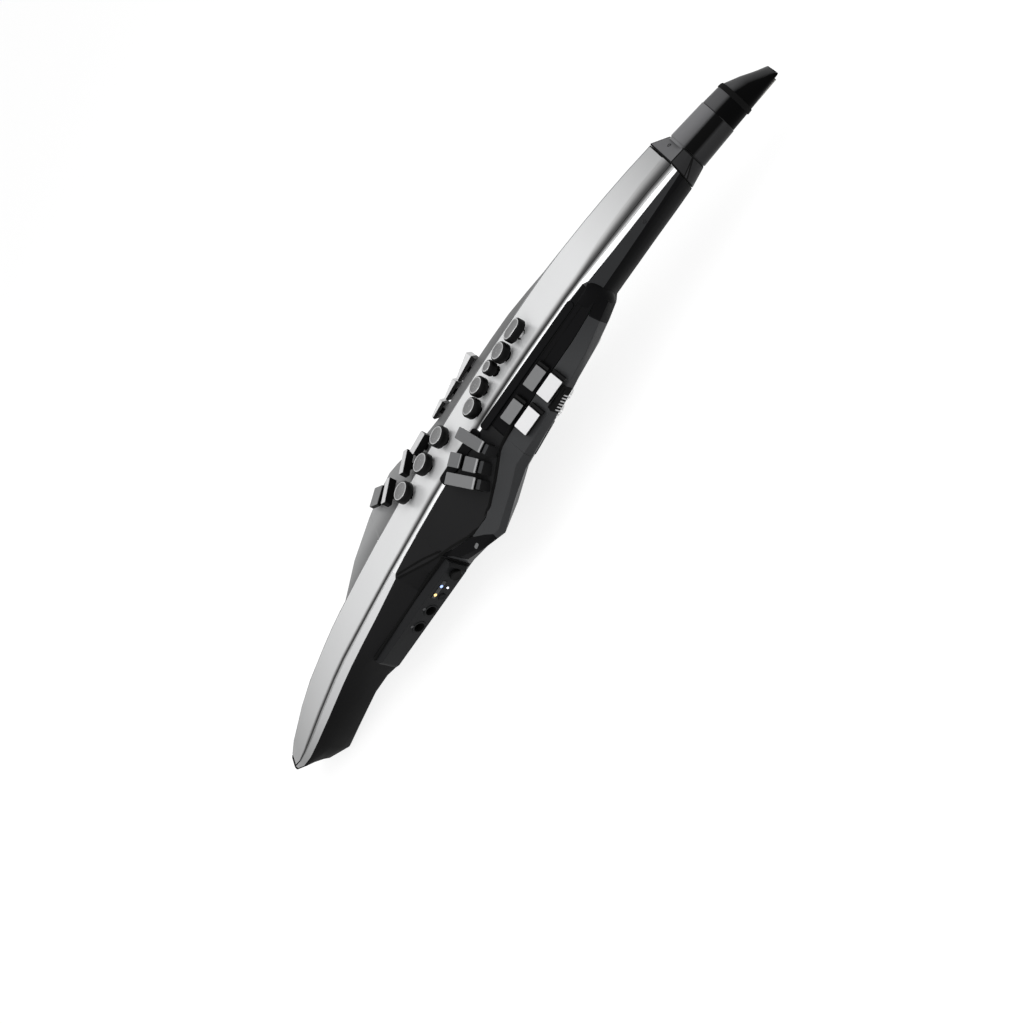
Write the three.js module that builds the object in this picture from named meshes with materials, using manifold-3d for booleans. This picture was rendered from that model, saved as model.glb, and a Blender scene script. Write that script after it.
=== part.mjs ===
import * as THREE from 'three';
import { mergeVertices } from 'three/addons/utils/BufferGeometryUtils.js';
import Module from 'manifold-3d';

const wasm = await Module();
wasm.setup();

// Frame: X runs along the instrument to the mouthpiece, Z is the key side, Y is the right-hand side.
// The instrument lies on its back, on two rubber pads and the heel of its tail, with Z zero at the floor.

// Overall sizes. Places along and across the body are shares of sectionScale, which follows the length
// from the origin to the tip of the tail.
const tailLength = 288.5;
const tipShare = 2.885;
const sectionScale = tailLength / tipShare;
const scaled = (share) => share * sectionScale;
const wall = 1.8;
const seamGap = 0.3;
const halfSeam = seamGap / 2;
const mergeDistance = 0.00001;

// Ends of the long pieces along X, and the heights of the slanted collar joint, as shares of sectionScale
const collarRearShare = 2.05;
const collarFrontShare = 2.11;
const collarLowShare = 0.39;
const collarHighShare = 0.65;
const recessShare = 1.225;
const pinkyTopShare = 0.17;
const pinkyTipShare = -1.08;
const bulgeEndShare = -0.76;
const wingEndShare = -1.7;
const tailBlockShare = -2.74;
const tipBlockShare = -2.865;
const collarRearX = scaled(collarRearShare);
const collarFrontX = scaled(collarFrontShare);
const collarLowZ = scaled(collarLowShare);
const collarHighZ = scaled(collarHighShare);
const recessTopX = scaled(recessShare);
const pinkyTopX = scaled(pinkyTopShare);
const pinkyTipX = scaled(pinkyTipShare);
const bulgeEndX = scaled(bulgeEndShare);
const wingEndX = scaled(wingEndShare);
const tailBlockX = scaled(tailBlockShare);
const tipBlockX = scaled(tipBlockShare);
const cutPlaces = [recessTopX, pinkyTopX, bulgeEndX, pinkyTipX, wingEndX];

// Body sections, listed from the collar to the tail as shares of sectionScale: the place along the body,
// the edge of the front panel, the points of the left side, then those of the right side where it differs.
// Each point is [outward, upward]; the first point of a side is the outer edge of the bright trim,
// the third is the seam between the black panel and the grey bulge, the last is the rear edge.
const sectionShares = [
  [
    2.16,
    [0.162, 0.638],
    [[0.206, 0.602], [0.22, 0.545], [0.205, 0.51], [0.185, 0.473], [0.162, 0.435], [0.122, 0.396]],
  ],
  [
    2.05,
    [0.165, 0.652],
    [[0.212, 0.614], [0.226, 0.555], [0.21, 0.516], [0.19, 0.477], [0.166, 0.438], [0.125, 0.396]],
  ],
  [
    1.9,
    [0.171, 0.673],
    [[0.221, 0.632], [0.234, 0.565], [0.219, 0.523], [0.197, 0.481], [0.17, 0.44], [0.13, 0.398]],
  ],
  [
    1.7,
    [0.18, 0.694],
    [[0.23, 0.652], [0.243, 0.572], [0.228, 0.527], [0.204, 0.483], [0.174, 0.441], [0.13, 0.4]],
  ],
  [
    1.5,
    [0.187, 0.711],
    [[0.237, 0.67], [0.25, 0.574], [0.235, 0.53], [0.21, 0.485], [0.177, 0.442], [0.13, 0.4]],
  ],
  [
    1.265,
    [0.193, 0.727],
    [[0.238, 0.691], [0.255, 0.58], [0.24, 0.536], [0.215, 0.494], [0.18, 0.449], [0.13, 0.4]],
  ],
  [
    1.225,
    [0.194, 0.729],
    [[0.228, 0.708], [0.262, 0.684], [0.3, 0.614], [0.3, 0.53], [0.24, 0.44], [0.14, 0.378]],
    [[0.228, 0.708], [0.26, 0.69], [0.28, 0.6], [0.28, 0.52], [0.235, 0.44], [0.14, 0.378]],
  ],
  [
    1.1,
    [0.195, 0.734],
    [[0.225, 0.715], [0.27, 0.681], [0.32, 0.604], [0.345, 0.527], [0.29, 0.436], [0.12, 0.33]],
    [[0.225, 0.715], [0.275, 0.69], [0.31, 0.6], [0.325, 0.51], [0.28, 0.42], [0.15, 0.33]],
  ],
  [
    0.9,
    [0.196, 0.735],
    [[0.226, 0.716], [0.275, 0.679], [0.34, 0.601], [0.39, 0.505], [0.34, 0.43], [0.06, 0.25]],
    [[0.226, 0.716], [0.315, 0.69], [0.36, 0.6], [0.38, 0.5], [0.33, 0.38], [0.16, 0.25]],
  ],
  [
    0.7,
    [0.194, 0.735],
    [[0.224, 0.717], [0.275, 0.679], [0.34, 0.6], [0.43, 0.505], [0.4, 0.442], [0, 0.19]],
    [[0.224, 0.717], [0.35, 0.688], [0.41, 0.59], [0.43, 0.48], [0.38, 0.34], [0.18, 0.19]],
  ],
  [
    0.5,
    [0.194, 0.732],
    [[0.224, 0.714], [0.275, 0.677], [0.345, 0.6], [0.46, 0.515], [0.43, 0.438], [-0.04, 0.138]],
    [[0.224, 0.714], [0.36, 0.685], [0.45, 0.57], [0.47, 0.45], [0.42, 0.3], [0.22, 0.138]],
  ],
  [
    0.3,
    [0.194, 0.727],
    [[0.224, 0.709], [0.275, 0.673], [0.35, 0.597], [0.48, 0.51], [0.46, 0.44], [-0.1, 0.075]],
    [[0.224, 0.709], [0.365, 0.68], [0.48, 0.56], [0.5, 0.42], [0.44, 0.25], [0.26, 0.075]],
  ],
  [
    0.08,
    [0.194, 0.718],
    [[0.224, 0.701], [0.29, 0.669], [0.385, 0.612], [0.5, 0.515], [0.497, 0.435], [-0.15, 0.02]],
    [[0.224, 0.701], [0.36, 0.675], [0.49, 0.55], [0.51, 0.4], [0.45, 0.2], [0.28, 0.02]],
  ],
  [
    -0.1,
    [0.193, 0.711],
    [[0.223, 0.694], [0.325, 0.648], [0.46, 0.552], [0.55, 0.46], [0.555, 0.41], [-0.13, 0.012]],
    [[0.223, 0.694], [0.35, 0.67], [0.49, 0.55], [0.51, 0.38], [0.45, 0.18], [0.3, 0.012]],
  ],
  [
    -0.32,
    [0.184, 0.697],
    [[0.214, 0.679], [0.34, 0.618], [0.52, 0.482], [0.605, 0.41], [0.62, 0.36], [0.02, 0.01]],
    [[0.214, 0.679], [0.42, 0.645], [0.52, 0.54], [0.54, 0.38], [0.46, 0.16], [0.28, 0.01]],
  ],
  [
    -0.48,
    [0.181, 0.683],
    [[0.211, 0.664], [0.32, 0.602], [0.5, 0.47], [0.58, 0.415], [0.585, 0.39], [0.08, 0.01]],
    [[0.211, 0.664], [0.5, 0.625], [0.56, 0.53], [0.57, 0.38], [0.46, 0.14], [0.27, 0.01]],
  ],
  [
    -0.66,
    [0.182, 0.666],
    [[0.212, 0.647], [0.28, 0.585], [0.4, 0.465], [0.455, 0.41], [0.46, 0.36], [0.05, 0.01]],
    [[0.212, 0.647], [0.58, 0.61], [0.6, 0.52], [0.59, 0.38], [0.45, 0.14], [0.24, 0.01]],
  ],
  [
    -0.76,
    [0.182, 0.656],
    [[0.212, 0.637], [0.26, 0.58], [0.35, 0.48], [0.335, 0.43], [0.3, 0.22], [0.1, 0.076]],
    [[0.212, 0.637], [0.615, 0.6], [0.62, 0.52], [0.585, 0.38], [0.42, 0.14], [0.14, 0.076]],
  ],
  [
    -0.92,
    [0.182, 0.64],
    [[0.212, 0.62], [0.25, 0.582], [0.295, 0.535], [0.325, 0.43], [0.29, 0.21], [0.1, 0.076]],
    [[0.212, 0.62], [0.595, 0.588], [0.595, 0.51], [0.55, 0.36], [0.4, 0.14], [0.14, 0.076]],
  ],
  [
    -1.07,
    [0.182, 0.626],
    [[0.22, 0.603], [0.233, 0.597], [0.246, 0.586], [0.315, 0.43], [0.283, 0.207], [0.1, 0.076]],
    [[0.22, 0.603], [0.55, 0.577], [0.55, 0.5], [0.5, 0.35], [0.37, 0.14], [0.14, 0.076]],
  ],
  [
    -1.1,
    [0.182, 0.623],
    [[0.23, 0.585], [0.245, 0.57], [0.26, 0.545], [0.313, 0.43], [0.282, 0.206], [0.1, 0.076]],
    [[0.23, 0.59], [0.54, 0.575], [0.54, 0.49], [0.49, 0.35], [0.37, 0.14], [0.14, 0.076]],
  ],
  [
    -1.4,
    [0.183, 0.587],
    [[0.233, 0.537], [0.255, 0.51], [0.28, 0.47], [0.303, 0.42], [0.272, 0.196], [0.1, 0.076]],
    [[0.233, 0.537], [0.41, 0.55], [0.41, 0.47], [0.385, 0.33], [0.31, 0.15], [0.14, 0.076]],
  ],
  [
    -1.7,
    [0.182, 0.547],
    [[0.234, 0.492], [0.25, 0.465], [0.268, 0.435], [0.285, 0.4], [0.255, 0.18], [0.1, 0.076]],
    [[0.234, 0.492], [0.262, 0.49], [0.27, 0.44], [0.275, 0.34], [0.245, 0.17], [0.12, 0.076]],
  ],
  [
    -1.83,
    [0.179, 0.528],
    [[0.231, 0.47], [0.243, 0.44], [0.248, 0.39], [0.245, 0.31], [0.2, 0.165], [0.1, 0.1]],
  ],
  [
    -2,
    [0.176, 0.495],
    [[0.229, 0.436], [0.24, 0.385], [0.24, 0.325], [0.23, 0.25], [0.19, 0.155], [0.1, 0.102]],
  ],
  [
    -2.3,
    [0.176, 0.427],
    [[0.228, 0.37], [0.235, 0.32], [0.23, 0.26], [0.21, 0.18], [0.17, 0.09], [0.1, 0.048]],
  ],
  [
    -2.52,
    [0.162, 0.365],
    [[0.209, 0.315], [0.215, 0.27], [0.21, 0.205], [0.185, 0.115], [0.14, 0.03], [0.09, 0]],
  ],
  [
    -2.68,
    [0.137, 0.314],
    [[0.181, 0.272], [0.182, 0.244], [0.172, 0.205], [0.145, 0.15], [0.11, 0.09], [0.08, 0.066]],
  ],
  [
    -2.78,
    [0.113, 0.285],
    [[0.15, 0.254], [0.15, 0.243], [0.14, 0.23], [0.12, 0.216], [0.1, 0.204], [0.08, 0.196]],
  ],
  [
    -2.885,
    [0.05, 0.25],
    [[0.066, 0.241], [0.067, 0.232], [0.064, 0.224], [0.058, 0.217], [0.048, 0.211], [0.034, 0.208]],
  ],
];
const chainCount = 6;
const ringCount = (chainCount + 1) * 2;
const trimIndex = 1;
const wingIndex = 2;
const seamIndex = 3;
const rightOf = (index) => ringCount - 1 - index;

// Front keys: [along, out to the left, cap diameter] as shares of sectionScale
const frontKeyShares = {
  front_key_1: [0.55, 0.02, 0.14],
  front_key_2: [0.425, 0.012, 0.1],
  front_key_3: [0.285, 0.028, 0.14],
  front_key_4: [0.16, 0.1, 0.14],
  front_key_5: [-0.165, -0.056, 0.15],
  front_key_6: [-0.385, -0.056, 0.155],
  front_key_7: [-0.64, -0.092, 0.155],
};
const oblongKeyShares = [0.715, 0.01];
const oblongKeyLength = 17;
const oblongKeyWidth = 10.5;
const capLift = 2.7;
const capHeight = 6;
const capBevel = 0.7;
const capDish = 0.5;
const stemRadius = 2.6;
const stemClearance = 0.4;
const stemFlangeRadius = 3.4;
const stemFlangeHeight = 1.2;
const keyTravel = 2;
const contactGap = 0.5;
const turnSegments = 16;
const holeSegments = 10;
const smallRodRadius = 3.4;

// Plate keys that press straight in: [along, out, up, roll, yaw, length, width, height]
// as shares of sectionScale, but the turns of a half turn.
const plateKeyShares = {
  palm_key_1: [0.592, 0.32, 0.654, 0.265, 0, 0.157, 0.082, 0.034],
  palm_key_2: [0.334, 0.3235, 0.651, 0.265, 0, 0.157, 0.082, 0.034],
  palm_key_3: [0.603, 0.4035, 0.5735, 0.225, 0, 0.165, 0.1, 0.034],
  palm_key_4: [0.354, 0.418, 0.574, 0.205, 0, 0.165, 0.1, 0.034],
  side_key_1: [0.225, -0.425, 0.645, -0.24, 0, 0.19, 0.11, 0.06],
  side_key_2: [0.045, -0.425, 0.638, -0.24, 0, 0.145, 0.11, 0.048],
  side_key_3: [-0.12, -0.43, 0.632, -0.235, 0, 0.135, 0.11, 0.042],
  right_pinky_key_1: [-0.35, -0.282, 0.685, -0.03, -0.06, 0.16, 0.075, 0.06],
  right_pinky_key_2: [-0.535, -0.33, 0.663, -0.03, -0.3, 0.19, 0.05, 0.06],
  right_pinky_key_3: [-0.785, -0.34, 0.643, -0.03, -0.3, 0.2, 0.05, 0.06],
  right_pinky_key_4: [-0.915, -0.495, 0.618, -0.03, -0.25, 0.15, 0.11, 0.034],
};
const plateKeyBevel = 0.8;
const plateKeyCorner = 1.6;
const plateStemRadius = 2.2;
const plateStemReach = 5.6;

// Left pinky keys, hinged at their outer ends: [along, out, up, roll, yaw, length, width]
// as above, and last the depth of the bracket cheeks
const pinkyKeyShares = {
  left_pinky_key_1: [0.02, 0.262, 0.733, 0.075, 0.42, 0.265, 0.08, 0.085],
  left_pinky_key_2: [-0.155, 0.238, 0.722, 0.085, 0.345, 0.105, 0.095, 0.04],
  left_pinky_key_3: [-0.095, 0.355, 0.68, 0.1, 0.345, 0.115, 0.095, 0.07],
  left_pinky_key_4: [-0.225, 0.35, 0.672, 0.11, 0.335, 0.25, 0.08, 0.08],
};
const pinkyKeyHeight = 3.2;
const barrelRadius = 1.9;
const barrelInset = 0.6;
const barrelDrop = 1.2;
const bracketGap = 0.35;
const bracketThickness = 1.6;
const bracketLength = 3.2;

// Collar, neck, mouthpiece
const neckBaseShare = 0.499;
const neckLeanShare = 0.0433;
const collarLength = 16.1;
const neckLength = 27;
const neckBaseRadius = 13.9;
const neckTopRadius = 12.9;
const neckBoreRadius = 6;
const tenonRadius = 8.4;
const tenonLength = 12;
const socketClearance = 0.3;
const collarTopInset = 0.6;
const mouthpieceLength = 41.5;
const mouthpieceWall = 3.96;
const mouthpieceRadius = tenonRadius + socketClearance + mouthpieceWall;
// Mouthpiece sections: the share of its length, then as shares of its radius the half width,
// the reach to the front and to the rear, and the middle's height
const mouthpieceSectionShares = [
  [0, 1, 1, 1, 0],
  [0.29, 0.967, 0.951, 0.951, -0.016],
  [0.36, 0.951, 0.934, 0.918, -0.033],
  [0.62, 0.82, 0.623, 0.672, -0.213],
  [0.86, 0.639, 0.295, 0.361, -0.426],
  [0.975, 0.557, 0.164, 0.213, -0.525],
  [1, 0.525, 0.105, 0.148, -0.541],
];
const mouthpieceSegments = 20;
const windwayHalfWidth = 3;
const windwayHalfHeight = 0.5;
const windwayThroatHeight = 1.6;
const socketDepth = 13;
const reedStartShare = 0.05;
const reedEndShare = 0.93;
const reedDepthShares = [0.758, 0.679];
const reedHalfWidth = 6;
const reedThickness = 0.9;
const tableDepth = 8;
const bandShares = [0.3, 0.36, 0.385];
const bandHeight = 0.9;

// Jack panel on the left flank: [along, upper edge of its face, lower edge] as shares of sectionScale
const jackSectionShares = [
  [-0.775, [0.36, 0.405], [0.33, 0.245]],
  [-0.8, [0.38, 0.4], [0.345, 0.24]],
  [-1.66, [0.35, 0.365], [0.31, 0.21]],
  [-1.69, [0.33, 0.37], [0.3, 0.215]],
];
const shoulderIndex = 4;
const flankIndex = 5;
const rearIndex = 6;

// Fittings on the jack panel: [along, out, up] as shares of sectionScale, facing out of its face
const jackFittingShares = {
  volume_knob: [-0.835, 0.365, 0.32],
  power_button: [-1.035, 0.347, 0.283],
  phones_jack: [-1.165, 0.345, 0.288],
  charge_jack: [-1.315, 0.34, 0.283],
};
const jackFaceRollShare = 0.568;
const knobRadius = 4.2;
const knobStand = 3.2;
const knobShaftRadius = 2;
const buttonRadius = 2.4;
const buttonStand = 1.3;
const jackOuterRadius = 4.9;
const jackBoreRadius = 3.6;
const jackLip = 0.5;
const jackDepth = 11;
const fittingDepth = 7;
const lampShares = [-0.99, 0.362, 0.345];
const lampLength = 15;
const lampWidth = 3;
const lampDepth = 2;
const lampStand = 0.3;

// Rear fittings. Pads: [along, right, length] as shares of sectionScale, then the turn of a half turn
const padTopShare = 0.0095;
const padWidth = 5.5;
const padCorner = 2.5;
const padBevel = 0.2;
const padShares = {
  pad_left: [-0.39, 0.016, 0.29, 0.119],
  pad_right: [-0.06, 0.22, 0.24, 0],
};
const rollerShares = { octave_roller_up: 0.548, octave_roller_down: 0.42 };
const rollerFlankShare = 0.6;
const rollerRadius = 5.4;
const rollerLength = 12;
const rollerProud = 1.6;
const axleRadius = 1.3;
const axleLength = 15.4;
const cheekThickness = 1.6;
const cheekDepth = 9;
const flankRollShare = 0.819;
const thumbRestAlongShares = [0.33, 0.11];
const thumbRestFlankShares = [0.4, 0.66];
const thumbRestThickness = 1.6;
const bayEndShares = [-0.42, -0.71];
const baySideShares = [0.06, 0.63];
const bayRoofShare = 0.27;
const hookTravel = 4;
const hookSideGap = 2;
const hookPlateLength = 18;
const hookPlateThickness = 2.4;
const hookWidth = 15;
const hookArmThickness = 3;
const hookDrop = 22;
const hookCurlLength = 10;
const strapShares = [0.88, 0.118];
const strapFootLength = 12;
const strapFootWidth = 8;
const strapFootThickness = 1.5;
const strapRingRadius = 5;
const strapRingWire = 1.3;
const strapRingDrop = 4.9;
const displayShare = -0.9;
const menuButtonShare = -1.05;
const rearFittingSideShare = 0.02;
const displayLength = 20;
const displayWidth = 14;
const displayThickness = 1.4;
const menuButtonRadius = 2.3;
const menuButtonStand = 0.6;
const menuButtonDepth = 4;
const doorInset = 7;
const doorWidth = 16;

// Inner pieces
const fitGap = 0.25;
const sheetDrop = 9.4;
const sheetThickness = 1.4;
const sheetHalfWidth = 15.5;
const sheetEndShares = [0.92, -0.78];
const sheetPostShares = [[0.86, 0], [-0.03, -0.1], [-0.52, 0.08]];
const postRadius = 2.2;
const boardEndShares = [1.52, -0.64];
const boardHeightShare = 0.444;
const boardHalfWidth = 11.5;
const boardThickness = 1.6;
const boardPostShares = [[1.16, 0.02], [0.7, 0.06], [-0.26, 0.08]];
const sensorShare = 1.42;
const sensorLength = 18;
const sensorWidth = 14;
const sensorHeight = 8;
const tubeHeightShare = 0.49;
const tubeRadius = 2.8;
const tubeBoreRadius = 1.7;
const tubeReach = 21.9;
const batteryShares = [-1.11, 0.03, 0.165];
const batteryLength = 62;
const batteryWidth = 26;
const batteryHeight = 13;
const batteryRibInset = 2;
const batteryRibThickness = 2.4;
const batteryRibWidth = 16;
const speakerShares = [-2.06, 0.2];
const speakerRadius = 10.5;
const speakerDepth = 7;
const speakerRingWall = 1.6;
const grilleRadius = 1;
const grilleRing = 4.5;
const grilleCount = 6;

const materials = {
  silver: new THREE.MeshStandardMaterial({ color: 0xd6d8da, roughness: 0.34, metalness: 0.75 }),
  bright: new THREE.MeshStandardMaterial({ color: 0xf0f1f2, roughness: 0.16, metalness: 0.95 }),
  black: new THREE.MeshStandardMaterial({ color: 0x0e0e10, roughness: 0.38, metalness: 0.1 }),
  satin: new THREE.MeshStandardMaterial({ color: 0x161618, roughness: 0.6, metalness: 0.05 }),
  bulge: new THREE.MeshStandardMaterial({ color: 0x3b3c3e, roughness: 0.5, metalness: 0.2 }),
  panel: new THREE.MeshStandardMaterial({ color: 0x2a2b2d, roughness: 0.5, metalness: 0.2 }),
  wing: new THREE.MeshStandardMaterial({ color: 0x8d8f92, roughness: 0.4, metalness: 0.5 }),
  key: new THREE.MeshStandardMaterial({ color: 0x6c6e70, roughness: 0.35, metalness: 0.5 }),
  rubber: new THREE.MeshStandardMaterial({ color: 0x121212, roughness: 0.85, metalness: 0 }),
  board: new THREE.MeshStandardMaterial({ color: 0x1e5a34, roughness: 0.55, metalness: 0.05 }),
  plastic: new THREE.MeshStandardMaterial({ color: 0xc9c9c4, roughness: 0.55, metalness: 0 }),
  window: new THREE.MeshStandardMaterial({ color: 0x14181c, roughness: 0.1, metalness: 0 }),
};

const group = new THREE.Group();

// Solid helpers
function toSolid(geometry) {
  const bare = new THREE.BufferGeometry();
  bare.setAttribute('position', geometry.getAttribute('position').clone());
  if (geometry.index) bare.setIndex(geometry.index.clone());
  const merged = mergeVertices(bare, mergeDistance);
  const mesh = new wasm.Mesh({
    numProp: 3,
    vertProperties: new Float32Array(merged.getAttribute('position').array),
    triVerts: new Uint32Array(merged.index.array),
  });
  return new wasm.Manifold(mesh);
}

function toGeometry(solid) {
  const mesh = solid.getMesh();
  const geometry = new THREE.BufferGeometry();
  geometry.setAttribute('position', new THREE.BufferAttribute(new Float32Array(mesh.vertProperties), 3));
  geometry.setIndex(new THREE.BufferAttribute(new Uint32Array(mesh.triVerts), 1));
  return geometry;
}

function addPiece(name, solid, material) {
  const geometry = toGeometry(solid).toNonIndexed();
  geometry.computeVertexNormals();
  const mesh = new THREE.Mesh(geometry, materials[material]);
  mesh.name = name;
  group.add(mesh);
}

// Closed body through rings of points, each ring a list of [x, y, z]
function loft(rings) {
  const count = rings[0].length;
  const positions = rings.flat().flat();
  const index = [];
  for (let row = 0; row < rings.length - 1; row += 1) {
    for (let column = 0; column < count; column += 1) {
      const next = (column + 1) % count;
      const a = row * count + column;
      const b = row * count + next;
      const c = (row + 1) * count + next;
      const d = (row + 1) * count + column;
      const points = [a, b, c, d].map((v) => new THREE.Vector3().fromArray(positions, v * 3));
      if (points[0].distanceTo(points[2]) < points[1].distanceTo(points[3])) index.push(a, b, c, a, c, d);
      else index.push(a, b, d, b, c, d);
    }
  }
  const capFaces = (ring) => {
    const contour = ring.map(([, y, z]) => new THREE.Vector2(y, z));
    return THREE.ShapeUtils.triangulateShape(contour, []);
  };
  const areaSign = Math.sign(THREE.ShapeUtils.area(rings[0].map(([, y, z]) => new THREE.Vector2(y, z))));
  const last = (rings.length - 1) * count;
  capFaces(rings[0]).forEach(([a, b, c]) => {
    if (areaSign > 0) index.push(a, c, b);
    else index.push(a, b, c);
  });
  capFaces(rings[rings.length - 1]).forEach(([a, b, c]) => {
    if (areaSign > 0) index.push(last + a, last + b, last + c);
    else index.push(last + a, last + c, last + b);
  });
  const corner = (i) => new THREE.Vector3().fromArray(positions, index[i] * 3);
  let volume = 0;
  for (let i = 0; i < index.length; i += 3) volume += corner(i).dot(corner(i + 1).cross(corner(i + 2)));
  if (volume < 0) {
    for (let i = 0; i < index.length; i += 3) {
      [index[i + 1], index[i + 2]] = [index[i + 2], index[i + 1]];
    }
  }
  const geometry = new THREE.BufferGeometry();
  geometry.setAttribute('position', new THREE.Float32BufferAttribute(positions, 3));
  geometry.setIndex(index);
  return toSolid(geometry);
}

// Outline of the body at one place along X, as 14 points of [y, z] running round by the left side
function ringOf([, crest, left, right = left]) {
  const leftSide = [crest, ...left].map(([out, up]) => [scaled(-out), scaled(up)]);
  const rightSide = [crest, ...right].map(([out, up]) => [scaled(out), scaled(up)]);
  return [...leftSide, ...rightSide.reverse()];
}

const stationRings = sectionShares.map((row) => ({ x: scaled(row[0]), ring: ringOf(row) }));

function ringAt(x) {
  const upper = stationRings.findLastIndex((station) => station.x >= x);
  const a = stationRings[Math.max(upper, 0)];
  const b = stationRings[Math.min(upper + 1, stationRings.length - 1)];
  const blend = a.x === b.x ? 0 : (a.x - x) / (a.x - b.x);
  return a.ring.map(([y, z], i) => [y + (b.ring[i][0] - y) * blend, z + (b.ring[i][1] - z) * blend]);
}

function stationsBetween(highX, lowX) {
  const seams = cutPlaces.flatMap((x) => [x + halfSeam, x - halfSeam]);
  const all = [...stationRings.map((station) => station.x), ...seams].sort((a, b) => b - a);
  return [highX, ...all.filter((x) => x < highX && x > lowX), lowX];
}

function direction([ay, az], [by, bz]) {
  const length = Math.hypot(by - ay, bz - az);
  return [(by - ay) / length, (bz - az) / length];
}

// Outline moved inward by a distance, corner by corner
function insetRing(ring, distance) {
  return ring.map((point, i) => {
    const before = direction(ring[(i + ring.length - 1) % ring.length], point);
    const after = direction(point, ring[(i + 1) % ring.length]);
    const reach = distance / (1 + before[0] * after[0] + before[1] * after[1]);
    return [point[0] - (before[1] + after[1]) * reach, point[1] + (before[0] + after[0]) * reach];
  });
}

function shiftedEnds(chain, gap) {
  const first = direction(chain[0], chain[1]);
  const end = chain.length - 1;
  const last = direction(chain[end], chain[end - 1]);
  const moved = chain.map((point) => [...point]);
  moved[0] = [chain[0][0] + first[0] * gap, chain[0][1] + first[1] * gap];
  moved[end] = [chain[end][0] + last[0] * gap, chain[end][1] + last[1] * gap];
  return moved;
}

// X of the slanted joint between body and collar at a height
function collarPlane(z) {
  return collarRearX + ((z - collarLowZ) * (collarFrontX - collarRearX)) / (collarHighZ - collarLowZ);
}

// Wall of the body between two outline points, as a closed strip from highX to lowX
function strip(highX, lowX, from, to, toCollar = false) {
  const rings = stationsBetween(highX - halfSeam, lowX + halfSeam).map((x, i) => {
    const ring = ringAt(x);
    const inner = insetRing(ring, wall);
    const pick = [];
    for (let k = from; k <= to; k += 1) pick.push(k % ringCount);
    const outerChain = shiftedEnds(pick.map((k) => ring[k]), halfSeam);
    const innerChain = shiftedEnds(pick.map((k) => inner[k]), halfSeam);
    const loop = [...outerChain, ...innerChain.reverse()];
    return loop.map(([y, z]) => [toCollar && i === 0 ? collarPlane(z) - halfSeam : x, y, z]);
  });
  return loft(rings);
}

// Solid helpers for simple forms
function box(length, width, height, x, y, z) {
  const geometry = new THREE.BoxGeometry(length, width, height);
  geometry.translate(x, y, z);
  return toSolid(geometry);
}

function rodZ(radius, lowZ, highZ, x, y) {
  const segments = radius < smallRodRadius ? holeSegments : turnSegments;
  const geometry = new THREE.CylinderGeometry(radius, radius, highZ - lowZ, segments);
  geometry.rotateX(Math.PI / 2);
  geometry.translate(x, y, (lowZ + highZ) / 2);
  return toSolid(geometry);
}

function rodY(radius, length, segments = turnSegments) {
  return toSolid(new THREE.CylinderGeometry(radius, radius, length, segments));
}

function rodX(radius, lowX, highX, y, z, segments = turnSegments) {
  const geometry = new THREE.CylinderGeometry(radius, radius, highX - lowX, segments);
  geometry.rotateZ(Math.PI / 2);
  geometry.translate((lowX + highX) / 2, y, z);
  return toSolid(geometry);
}

function turned(profile, segments = turnSegments) {
  const points = profile.map(([radius, height]) => new THREE.Vector2(radius, height));
  const geometry = new THREE.LatheGeometry(points, segments);
  geometry.rotateX(Math.PI / 2);
  return toSolid(geometry);
}

function roundedPlate(length, width, height, corner, bevel) {
  const shape = new THREE.Shape();
  const halfL = length / 2;
  const halfW = width / 2;
  shape.moveTo(-halfL + corner, -halfW);
  shape.lineTo(halfL - corner, -halfW);
  shape.quadraticCurveTo(halfL, -halfW, halfL, -halfW + corner);
  shape.lineTo(halfL, halfW - corner);
  shape.quadraticCurveTo(halfL, halfW, halfL - corner, halfW);
  shape.lineTo(-halfL + corner, halfW);
  shape.quadraticCurveTo(-halfL, halfW, -halfL, halfW - corner);
  shape.lineTo(-halfL, -halfW + corner);
  shape.quadraticCurveTo(-halfL, -halfW, -halfL + corner, -halfW);
  const geometry = new THREE.ExtrudeGeometry(shape, {
    depth: height - bevel * 2,
    bevelEnabled: true,
    bevelThickness: bevel,
    bevelSize: bevel,
    bevelOffset: -bevel,
    bevelSegments: 1,
    curveSegments: 3,
    steps: 1,
  });
  geometry.translate(0, 0, bevel);
  return toSolid(geometry);
}

function placed(solid, matrix) {
  return solid.transform(matrix.elements);
}

// Frame of a key on the body: roll about X, then yaw about the key's own normal
function keyFrame([along, out, up, roll, yaw]) {
  const matrix = new THREE.Matrix4().makeTranslation(scaled(along), scaled(-out), scaled(up));
  matrix.multiply(new THREE.Matrix4().makeRotationX(roll * Math.PI));
  matrix.multiply(new THREE.Matrix4().makeRotationZ(-yaw * Math.PI));
  return matrix;
}

function panelHeight(x) {
  return ringAt(x)[0][1];
}

function rearHeight(x) {
  return ringAt(x)[rearIndex][1];
}

// Long strips of the shell
let frontPanel = strip(collarFrontX, tipBlockX, rightOf(0), ringCount, true);
const trimLeft = strip(collarFrontX, tipBlockX, 0, trimIndex, true);
const trimRight = strip(collarFrontX, tipBlockX, rightOf(trimIndex), rightOf(0), true);
let upperHousing = strip(collarFrontX, recessTopX, trimIndex, rightOf(trimIndex), true);
let palmPanel = strip(recessTopX, pinkyTopX, trimIndex, seamIndex);
let pinkyPanel = strip(pinkyTopX, pinkyTipX, trimIndex, seamIndex);
let rightCover = strip(recessTopX, wingEndX, rightOf(wingIndex), rightOf(trimIndex));
let rearHousing = strip(recessTopX, bulgeEndX, seamIndex, rightOf(wingIndex));

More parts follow.
